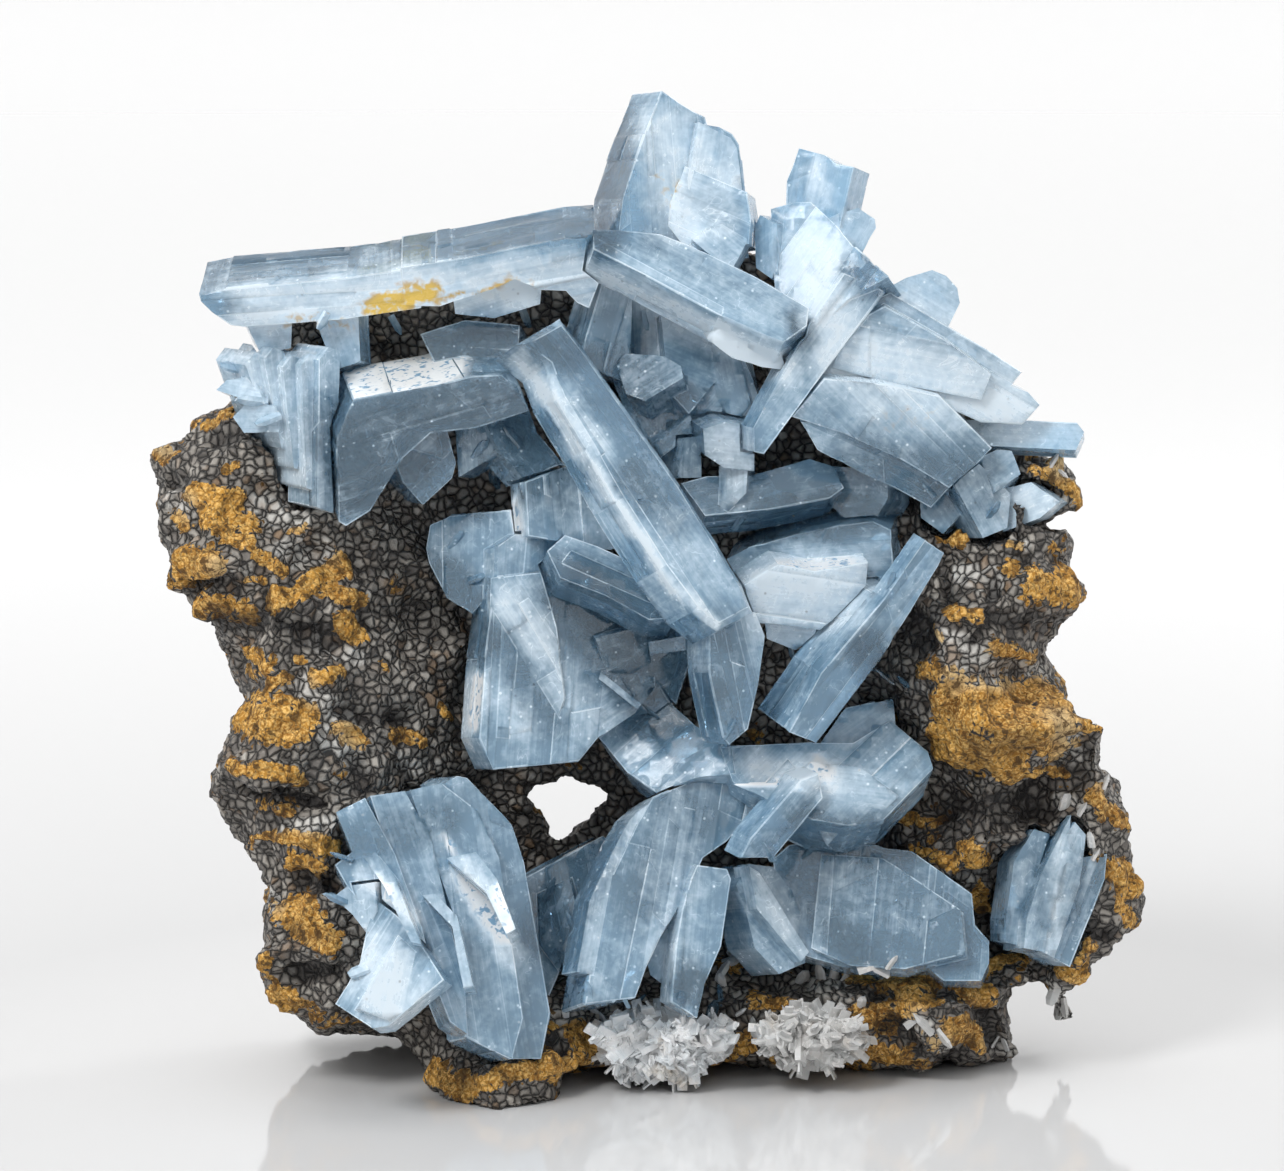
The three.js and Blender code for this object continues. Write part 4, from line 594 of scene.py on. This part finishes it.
class SPECIMEN_OT_crystals(bpy.types.Operator):
    """Dresses every group of blue crystals"""

    bl_idname = "specimen.crystals"
    bl_label = "Blue crystals"

    def execute(self, context):
        settings = context.scene.specimen_crystals
        material = crystal_material(settings)
        for node in CRYSTAL_NODES:
            piece = copy_of_node(node, f"{node}_crystal")
            work = bmesh.new()
            work.from_mesh(piece.data)
            bmesh.ops.dissolve_limit(
                work, angle_limit=math.radians(1.5), verts=work.verts, edges=work.edges, delimit=set()
            )
            growths = self.cut_plates(work, settings)
            self.set_plates(work, growths, settings)
            self.map_growth(work, growths)
            self.cut_into_cells(work)
            self.wear_edges(work, settings)
            work.to_mesh(piece.data)
            work.free()
            self.paint(piece.data)
            select_only(piece)
            bpy.ops.object.shade_smooth_by_angle(angle=math.radians(24))
            keep_as_piece(piece, node, material)
        return {"FINISHED"}

    @staticmethod
    def cut_plates(work, settings):
        """Cuts every large face along its longest side into plates; gives the directions of each large face."""
        layer = work.faces.layers.int.new("growth_face")
        for face in work.faces:
            face[layer] = -1
        growths = []
        large = [face for face in work.faces if face.calc_area() > settings.plate_width * settings.plate_length]
        for face in large:
            dice = face_dice(face, "strips")
            side = max(face.edges, key=lambda edge: edge.calc_length())
            along = (side.verts[1].co - side.verts[0].co).normalized()
            across = face.normal.cross(along)
            face[layer] = len(growths)
            growths.append((face.normal.copy(), along, across))
            reach = [vertex.co.dot(across) for vertex in face.verts]
            line = min(reach) + settings.plate_width * dice.uniform(0.35, 1.3)
            pieces = [face]
            while line < max(reach) - settings.plate_width * 0.3:
                leaning = (across + along * dice.uniform(-0.04, 0.04)).normalized()
                middle = sum((vertex.co.dot(along) for vertex in side.verts)) / 2
                pieces = sliced(work, pieces, across * line + along * middle + face_plane(growths[-1], side), leaning)
                line += settings.plate_width * dice.choice((0.35, 0.7, 1.0, 1.4, 2.0))
            for strip in pieces:
                dice = face_dice(strip, "lengths")
                run = [vertex.co.dot(along) for vertex in strip.verts]
                line = min(run) + settings.plate_length * dice.uniform(0.2, 1.2)
                parts = [strip]
                while line < max(run) - settings.plate_length * 0.15:
                    leaning = (along + across * dice.choice((-0.6, -0.2, 0.0, 0.25, 0.6))).normalized()
                    place = strip.calc_center_median()
                    place += along * (line - place.dot(along))
                    parts = sliced(work, parts, place, leaning)
                    line += settings.plate_length * dice.uniform(0.3, 1.5)
        return growths

    @staticmethod
    def set_plates(work, growths, settings):
        """Raises or sinks each plate a little and leans it a little, with a slope round it."""
        tone = work.faces.layers.float.new("tone")
        rim = work.faces.layers.float.new("rim")
        layer = work.faces.layers.int["growth_face"]
        for face in work.faces[:]:
            dice = face_dice(face, "plates")
            face[tone] = dice.uniform(-1.0, 1.0)
            # Small faces and the sides get a painted edge highlight of random strength
            face[rim] = dice.uniform(0.1, 0.6) if face[layer] < 0 else 0.0
            if face[layer] < 0 or 2 * face.calc_area() / face.calc_perimeter() < 3 * settings.rim:
                continue
            lift = settings.terrace * dice.choice((-0.5, -0.2, 0.0, 0.3, 0.6, 1.0, 1.6))
            outer = {edge for edge in face.edges if edge.calc_face_angle(0.0) > SHARP}
            width = min(settings.rim, 0.6 * room_for_rim(face))
            if width < 0.2 * settings.rim:
                continue
            slope = bmesh.ops.inset_individual(
                work, faces=[face], thickness=width, depth=lift * width / settings.rim, use_even_offset=True
            )
            # The slopes round a plate get a painted highlight, strongest beside sharp outer edges
            inner_rim_highlight = dice.choice((0.0, 0.0, 0.0, 0.0, 0.4))
            outer_rim_highlight = dice.uniform(0.5, 1.0)
            for part in slope["faces"]:
                part[rim] = inner_rim_highlight if outer.isdisjoint(part.edges) else outer_rim_highlight
            axis = growths[face[layer]][1 if dice.random() < 0.7 else 2]
            turn = Matrix.Rotation(math.radians(dice.uniform(-1.2, 1.2)), 3, axis)
            centre = face.calc_center_median()
            for vertex in face.verts:
                vertex.co = centre + turn @ (vertex.co - centre)

    @staticmethod
    def map_growth(work, growths):
        """A map in metres that runs along each face, the way the crystal grew."""
        growth = work.loops.layers.uv.new("growth")
        layer = work.faces.layers.int["growth_face"]
        for face in work.faces:
            if face[layer] >= 0:
                _, along, across = growths[face[layer]]
            else:
                side = max(face.edges, key=lambda edge: edge.calc_length())
                along = (side.verts[1].co - side.verts[0].co).normalized()
                across = face.normal.cross(along)
            shift = 0.013 * face[layer]
            for loop in face.loops:
                loop[growth].uv = (loop.vert.co.dot(along) + shift, loop.vert.co.dot(across) + shift)

    @staticmethod
    def cut_into_cells(work):
        cell = 0.0011
        for axis in range(3):
            places = [vertex.co[axis] for vertex in work.verts]
            normal = Vector([1.0 if i == axis else 0.0 for i in range(3)])
            count = int((max(places) - min(places)) / cell)
            for step in range(1, count + 1):
                bmesh.ops.bisect_plane(
                    work, geom=work.verts[:] + work.edges[:] + work.faces[:], dist=1e-7,
                    plane_co=normal * (min(places) + step * cell - cell / 3), plane_no=normal,
                )

    @staticmethod
    def wear_edges(work, settings):
        """Chips the sharp edges and takes the flatness off the faces."""
        bmesh.ops.triangulate(work, faces=work.faces[:])
        work.normal_update()
        for face in work.faces:
            turns = [face.normal.dot(other.normal) for edge in face.edges for other in edge.link_faces if other != face]
            if turns and sum(turns) < -0.6 * len(turns):
                face.normal_flip()
        moves = []
        for vertex in work.verts:
            point = vertex.co
            sharp = max((edge.calc_face_angle(0.0) for edge in vertex.link_edges), default=0.0)
            move = 0.00004 * noise.noise(point * 420.0)
            if sharp > SHARP:
                move -= settings.chip * max(0.0, noise.noise(point * 900.0) - 0.3)
            moves.append(vertex.normal * move)
        for vertex, move in zip(work.verts, moves):
            vertex.co += move

    @staticmethod
    def paint(mesh):
        marks = {"milk": [], "deep": [], "stain": []}
        places = []
        for vertex in mesh.vertices:
            x, h = to_sheet(vertex.co)
            places.append((x, h))
            sway = noise.noise_vector(vertex.co * 330.0)
            x, h = x + 0.9 * sway.x, h + 0.9 * sway.z
            marks["milk"].append(stroke_strength(x, h, MILK_AND_LIGHT_STROKES))
            marks["deep"].append(stroke_strength(x, h, DEEP_AND_SHADE_STROKES))
            marks["stain"].append(stroke_strength(x, h, STAIN_STROKES))
        for name, values in marks.items():
            float_attribute(mesh, name, values)
        # Painted highlights, each glint kept to the faces turned like the face under its stroke's middle
        glints = [0.0] * len(mesh.loops)
        corners = [vertex.co.copy() for vertex in mesh.vertices]
        surface = BVHTree.FromPolygons(corners, [tuple(face.vertices) for face in mesh.polygons])
        for stroke in GLINT_STROKES:
            x1, h1, x2, h2 = stroke[:4]
            facing = surface.ray_cast(EYE, sight((x1 + x2) / 2, (h1 + h2) / 2))[1]
            if facing is None:
                continue
            for face in mesh.polygons:
                if face.normal.dot(facing) > 0.93:
                    for index in face.loop_indices:
                        strength = stroke_strength(*places[mesh.loops[index].vertex_index], [stroke])
                        glints[index] = max(glints[index], strength)
        mesh.attributes.new("glint", "FLOAT", "CORNER").data.foreach_set("value", glints)


def face_plane(growth, side):
    """How far a face's plane lies from the origin, along the face's normal."""
    return growth[0] * growth[0].dot(side.verts[0].co)


def room_for_rim(face):
    """The width at which a slope round a face would start to fold over."""
    room = 1.0
    for loop in face.loops:
        corners = (loop.calc_angle(), loop.link_loop_next.calc_angle())
        reach = sum(1.0 / math.tan(max(0.02, corner / 2)) for corner in corners)
        if reach > 0.01:
            room = min(room, loop.edge.calc_length() / reach)
    return room


def blade_template():
    """A small flat blade with a chisel point, one unit long, wide and thick."""
    bpy.ops.object.select_all(action="DESELECT")
    bpy.ops.mesh.primitive_cylinder_add(vertices=6, radius=0.5, depth=0.7, location=(0, 0, 0.35))
    shape = bpy.context.object
    bpy.ops.object.transform_apply(location=True, rotation=True, scale=True)
    for face in shape.data.polygons:
        face.select = face.normal.z > 0.9
    bpy.ops.object.mode_set(mode="EDIT")
    bpy.ops.mesh.select_mode(type="FACE")
    bpy.ops.mesh.extrude_region_move(TRANSFORM_OT_translate={"value": (0, 0, 0.3)})
    bpy.ops.transform.resize(value=(0.55, 0.3, 1.0), center_override=(0.0, 0.0, 1.0))
    bpy.ops.object.mode_set(mode="OBJECT")
    mesh = shape.data.copy()
    bpy.data.objects.remove(shape)
    return mesh


def plant_blade(work, template, foot, frame_of_blade, size):
    """Adds a blade to a mesh in the making, its foot a little below the ground it grows on."""
    start = len(work.verts)
    work.from_mesh(template)
    work.verts.ensure_lookup_table()
    for vertex in work.verts[start:]:
        wide, thick, long = (part * share for part, share in zip(vertex.co, size))
        vertex.co = foot + frame_of_blade @ Vector((wide, thick, long - 0.35 * size[2]))


class SPECIMEN_OT_druses(bpy.types.Operator):
    """Covers the white druses with small crowded blades"""

    bl_idname = "specimen.druses"
    bl_label = "White druses"

    def execute(self, context):
        material = druse_material()
        template = blade_template()
        for node, count in (("left_druse", 260), ("right_druse", 150)):
            piece = copy_of_node(node, f"{node}_crystals")
            self.grow_blades(piece, template, count)
            keep_as_piece(piece, node, material)
        bpy.data.meshes.remove(template)
        return {"FINISHED"}

    @staticmethod
    def grow_blades(piece, template, count):
        dice = Random(piece.name)
        work = bmesh.new()
        work.from_mesh(piece.data)
        work.normal_update()
        middle = sum((vertex.co for vertex in work.verts), Vector()) / len(work.verts)
        faces = [face for face in work.faces if face.normal.y < 0.5]
        weights = [face.calc_area() for face in faces]
        roots = []
        for face in dice.choices(faces, weights, k=count):
            corners = [vertex.co for vertex in face.verts]
            shares = [dice.random() for _ in corners]
            place = sum((corner * share for corner, share in zip(corners, shares)), Vector()) / sum(shares)
            roots.append((place, face.normal.copy()))
        for place, normal in roots:
            outward = (place - middle).normalized()
            lean = Vector([dice.gauss(0, 0.5) for _ in range(3)])
            direction = (0.5 * normal + 0.7 * outward + lean + Vector((0, -0.3, 0.3))).normalized()
            turn = direction.to_track_quat("Z", "Y").to_matrix() @ Matrix.Rotation(dice.uniform(0, 6.28), 3, "Z")
            long = dice.choice((0.0018, 0.0022, 0.0028, 0.0035))
            plant_blade(work, template, place, turn, (long * dice.uniform(0.5, 0.8), long * 0.34, long))
        stand_on_ground(work.verts)
        work.to_mesh(piece.data)
        work.free()


class SPECIMEN_OT_small_crystals(bpy.types.Operator):
    """Sets the small crystals that sit on the matrix between the large ones"""

    bl_idname = "specimen.small_crystals"
    bl_label = "Small crystals"

    def execute(self, context):
        template = blade_template()
        grounds = []
        for node, piece_name in (("matrix", "matrix_rock"), *((node, f"{node}_crystal") for node in CRYSTAL_NODES)):
            mesh = bpy.data.objects[piece_name].data
            faces = [tuple(face.vertices) for face in mesh.polygons]
            grounds.append(BVHTree.FromPolygons([vertex.co.copy() for vertex in mesh.vertices], faces))
        for name, slot, blades in (
            ("small_blue_crystals", "blue_crystal", BLUE_BLADES), ("small_white_crystals", "white_druse", WHITE_BLADES)
        ):
            piece = new_piece(name, bpy.data.meshes.new(name))
            work = bmesh.new()
            dice = Random(name)
            for x, h, long, wide, angle in blades:
                hits = [ground.ray_cast(EYE, sight(x, h)) for ground in grounds]
                hits = [hit for hit in hits if hit[0] is not None]
                if not hits:
                    continue
                place = min(hits, key=lambda hit: hit[3])[0]
                upright = Vector((math.cos(math.radians(angle)), dice.uniform(-0.5, 0.1), math.sin(math.radians(angle))))
                turn = upright.normalized().to_track_quat("Z", "Y").to_matrix()
                turn = turn @ Matrix.Rotation(dice.uniform(-0.6, 0.6), 3, "Z")
                plant_blade(work, template, place, turn, (wide * MM, 0.45 * wide * MM, long * MM))
            work.to_mesh(piece.data)
            work.free()
            if slot == "blue_crystal":
                work = bmesh.new()
                work.from_mesh(piece.data)
                work.loops.layers.uv.new("growth")
                work.to_mesh(piece.data)
                work.free()
                SPECIMEN_OT_crystals.paint(piece.data)
            keep_as_piece(piece, None, bpy.data.materials["blue barite" if slot == "blue_crystal" else "white druse"])
        bpy.data.meshes.remove(template)
        return {"FINISHED"}


PEBBLE_RANDOMNESS = 0.85


class SPECIMEN_OT_matrix(bpy.types.Operator):
    """Gives the matrix its pebbles, pits and ochre crusts"""

    bl_idname = "specimen.matrix"
    bl_label = "Matrix"

    def execute(self, context):
        settings = context.scene.specimen_matrix
        piece = copy_of_node("matrix", "matrix_rock")
        grain = settings.grain * 1
        apply_modifier(piece, "REMESH", "skin", mode="VOXEL", voxel_size=grain)
        self.swell(piece.data, settings)
        self.measure_pebbles(piece)
        self.raise_pebbles(piece.data, settings)
        self.thin_out_back(piece)
        select_only(piece)
        bpy.ops.object.shade_smooth()
        keep_as_piece(piece, "matrix", matrix_material(settings))
        return {"FINISHED"}

    @staticmethod
    def swell(mesh, settings):
        """Knobs a few millimetres wide, the crust marks, painted shade in the hollows and behind the crystals, and the
        place that the pebbles are measured from.
        """
        marks = {"ochre": [], "pale": [], "gloom": [], "hollow": []}
        skin = []
        normals = [vertex.normal.copy() for vertex in mesh.vertices]
        for vertex, normal in zip(mesh.vertices, normals):
            point = vertex.co.copy()
            x, h = to_sheet(point)
            sway = noise.noise_vector(point * 300.0)
            x, h = x + 1.1 * sway.x, h + 1.1 * sway.z
            aside = min(1.0, max(0.0, (normal.y + 0.35) / 0.6))
            ochre = pale = pit = 0.0
            if aside < 1.0:
                ochre = (1.0 - aside) * stroke_strength(x, h, OCHRE_STROKES)
                pale = (1.0 - aside) * stroke_strength(x, h, PALE_STROKES)
                pit = (1.0 - aside) * stroke_strength(x, h, SHADED_HOLLOW_STROKES)
                ochre = max(ochre, 1.2 * (noise.noise(point * 230.0) - 0.2))
            if aside > 0.0:
                ochre = max(ochre, aside * 1.8 * noise.noise(point * 120.0))
                pale = max(pale, aside * 1.2 * noise.noise(point * 90.0 + Vector((3, 5, 7))))
                pit = max(pit, min(1.0, aside * (3.0 * noise.noise(point * 150.0 + Vector((9, 2, 4))) - 0.9)))
            broad = 1.0 - (noise.voronoi(point / 0.0058)[0][0] / 0.75) ** 2
            knob = 1.0 - (noise.voronoi(point / 0.0026)[0][0] / 0.75) ** 2
            rough = noise.fractal(point * 700.0, 0.8, 2.0, 3)
            level = 0.0009 * max(-0.3, broad) + 0.0006 * max(-0.4, knob)
            level += 0.0006 * ochre + 0.0003 * rough * (0.5 + ochre) - 0.0011 * pit
            vertex.co = point + normal * (level - 0.0011)
            bend = noise.noise_vector(point * 420.0) * 0.0004
            skin.extend((vertex.co + bend) / settings.pebble)
            marks["ochre"].append(ochre)
            marks["pale"].append(pale)
            # Painted shade between the knobs and in the dents
            marks["hollow"].append(min(1.0, max(0.0, 0.2 - knob) * 0.8 + max(0.0, 0.1 - broad) * 0.6 + pit))
            # Painted shade on the rock behind the crystals near the middle
            marks["gloom"].append(0.75 * min(1.0, max(0.0, (0.004 - point.y) / -0.012)) if abs(x) < 26 else 0.0)
        for name, values in marks.items():
            float_attribute(mesh, name, values)
        mesh.attributes.new("skin", "FLOAT_VECTOR", "POINT").data.foreach_set("vector", skin)
        mesh.update()

    @staticmethod
    def measure_pebbles(piece):
        """Stores how far each point lies from the border of its pebble."""
        group = bpy.data.node_groups.new("pebble borders", "GeometryNodeTree")
        group.interface.new_socket("Geometry", in_out="INPUT", socket_type="NodeSocketGeometry")
        group.interface.new_socket("Geometry", in_out="OUTPUT", socket_type="NodeSocketGeometry")
        start = group.nodes.new("NodeGroupInput")
        end = group.nodes.new("NodeGroupOutput")
        skin = group.nodes.new("GeometryNodeInputNamedAttribute")
        skin.data_type = "FLOAT_VECTOR"
        skin.inputs["Name"].default_value = "skin"
        cells = group.nodes.new("ShaderNodeTexVoronoi")
        cells.feature = "DISTANCE_TO_EDGE"
        cells.inputs["Scale"].default_value = 1.0
        cells.inputs["Randomness"].default_value = PEBBLE_RANDOMNESS
        store = group.nodes.new("GeometryNodeStoreNamedAttribute")
        store.data_type = "FLOAT"
        store.domain = "POINT"
        store.inputs["Name"].default_value = "border"
        group.links.new(start.outputs["Geometry"], store.inputs["Geometry"])
        group.links.new(skin.outputs["Attribute"], cells.inputs["Vector"])
        group.links.new(cells.outputs["Distance"], store.inputs["Value"])
        group.links.new(store.outputs["Geometry"], end.inputs["Geometry"])
        apply_modifier(piece, "NODES", "borders", node_group=group)
        bpy.data.node_groups.remove(group)

    @staticmethod
    def raise_pebbles(mesh, settings):
        borders = mesh.attributes["border"].data
        crusts = mesh.attributes["ochre"].data
        normals = [vertex.normal.copy() for vertex in mesh.vertices]
        for index, (vertex, normal) in enumerate(zip(mesh.vertices, normals)):
            dome = math.sqrt(min(1.0, max(0.0, borders[index].value / 0.4)))
            share = 1.0 - 0.6 * min(1.0, crusts[index].value)
            vertex.co += normal * (settings.pebble_height * share * (dome - 0.6))
        stand_on_ground(mesh.vertices)
        mesh.update()

    @staticmethod
    def thin_out_back(piece):
        """Fewer, larger triangles on the sides that turn away from the front."""
        back = piece.vertex_groups.new(name="back")
        turned = [vertex.index for vertex in piece.data.vertices if vertex.normal.y > 0.1]
        back.add(turned, 1.0, "REPLACE")
        count = sum(len(face.vertices) - 2 for face in piece.data.polygons)
        share = min(1.0, 190000 / count)
        apply_modifier(piece, "DECIMATE", "thin", ratio=share, vertex_group="back", vertex_group_factor=4.0)
        piece.vertex_groups.clear()
        stand_on_ground(piece.data.vertices)


def add_light(name, place, aim, energy, size):
    bpy.ops.object.light_add(type="AREA", location=place)
    lamp = bpy.context.object
    lamp.name = name
    lamp.rotation_euler = (Vector(aim) - Vector(place)).to_track_quat("-Z", "Y").to_euler()
    lamp.data.energy = energy
    lamp.data.shape = "RECTANGLE"
    lamp.data.size, lamp.data.size_y = size


class SPECIMEN_OT_stage(bpy.types.Operator):
    """Sets the table, the studio light and the camera"""

    bl_idname = "specimen.stage"
    bl_label = "Stage"

    def execute(self, context):
        bpy.ops.object.select_all(action="DESELECT")
        bpy.ops.mesh.primitive_plane_add(size=40.0, location=(0, 0, 0))
        table = context.object
        table.name = "table"
        table.data.materials.append(floor_material())
        world = bpy.data.worlds.new("studio")
        world.use_nodes = True
        self.paint_sky(world.node_tree)
        world.cycles.sampling_method = "NONE"
        context.scene.world = world
        add_light("key", (-0.28, -0.38, 0.5), (0, 0, 0.05), 2.0, (0.18, 0.18))
        context.object.visible_glossy = False
        add_light("rim", (0.4, 0.25, 0.45), (0, 0, 0.06), 0.6, (0.12, 0.12))
        bpy.ops.object.camera_add(location=EYE)
        camera = context.object
        camera.rotation_euler = EYE_AHEAD.to_track_quat("-Z", "Y").to_euler()
        camera.data.sensor_width = SENSOR_WIDTH
        camera.data.lens = SENSOR_WIDTH * EYE_DISTANCE / SHEET_WIDTH
        camera.data.clip_start = 0.01
        camera.data.clip_end = 60.0
        context.scene.camera = camera
        context.scene.view_settings.view_transform = "Standard"
        context.scene.cycles.use_denoising = True
        context.scene.cycles.use_light_tree = False
        context.scene.cycles.adaptive_threshold = 0.2
        context.scene.cycles.max_bounces = 7
        context.scene.cycles.transmission_bounces = 7
        context.scene.cycles.diffuse_bounces = 2
        context.scene.cycles.glossy_bounces = 2
        return {"FINISHED"}

    @staticmethod
    def paint_sky(tree):
        """White behind the specimen and through it; as light, brighter from above than from the sides."""
        sky = tree.nodes["Background"]
        place = tree.nodes.new("ShaderNodeTexCoord")
        height = tree.nodes.new("ShaderNodeSeparateXYZ")
        light = tree.nodes.new("ShaderNodeMapRange")
        path = tree.nodes.new("ShaderNodeLightPath")
        seen = tree.nodes.new("ShaderNodeMath")
        seen.operation = "SUBTRACT"
        seen.inputs[0].default_value = 1.0
        strength = tree.nodes.new("ShaderNodeMix")
        light.inputs["From Min"].default_value = 0.0
        light.inputs["To Min"].default_value = 0.4
        light.inputs["To Max"].default_value = 1.25
        strength.inputs["B"].default_value = 0.97
        tree.links.new(place.outputs["Generated"], height.inputs["Vector"])
        tree.links.new(height.outputs["Z"], light.inputs["Value"])
        tree.links.new(path.outputs["Is Diffuse Ray"], seen.inputs[1])
        tree.links.new(seen.outputs["Value"], strength.inputs["Factor"])
        tree.links.new(light.outputs["Result"], strength.inputs["A"])
        tree.links.new(strength.outputs["Result"], sky.inputs["Strength"])
        sky.inputs["Color"].default_value = (1.0, 1.0, 1.0, 1.0)


class SPECIMEN_PT_panel(bpy.types.Panel):
    bl_label = "Specimen"
    bl_idname = "SPECIMEN_PT_panel"
    bl_space_type = "VIEW_3D"
    bl_region_type = "UI"
    bl_category = "Specimen"

    def draw(self, context):
        for step in STEPS:
            self.layout.operator(step.bl_idname)
        for group in (context.scene.specimen_crystals, context.scene.specimen_matrix):
            for key in group.bl_rna.properties.keys():
                if key not in ("rna_type", "name"):
                    self.layout.prop(group, key)


STEPS = (
    SPECIMEN_OT_matrix, SPECIMEN_OT_crystals, SPECIMEN_OT_druses, SPECIMEN_OT_small_crystals, SPECIMEN_OT_stage
)
GROUPS = {"specimen_crystals": SpecimenCrystals, "specimen_matrix": SpecimenMatrix}


def register():
    for kind in (*GROUPS.values(), *STEPS, SPECIMEN_PT_panel):
        bpy.utils.register_class(kind)
    for name, kind in GROUPS.items():
        setattr(bpy.types.Scene, name, bpy.props.PointerProperty(type=kind))


def unregister():
    for name in GROUPS:
        delattr(bpy.types.Scene, name)
    for kind in (SPECIMEN_PT_panel, *STEPS, *GROUPS.values()):
        bpy.utils.unregister_class(kind)


def main():
    register()
    bpy.ops.specimen.matrix()
    bpy.ops.specimen.crystals()
    bpy.ops.specimen.druses()
    bpy.ops.specimen.small_crystals()
    bpy.ops.specimen.stage()


if __name__ == "__main__":
    main()
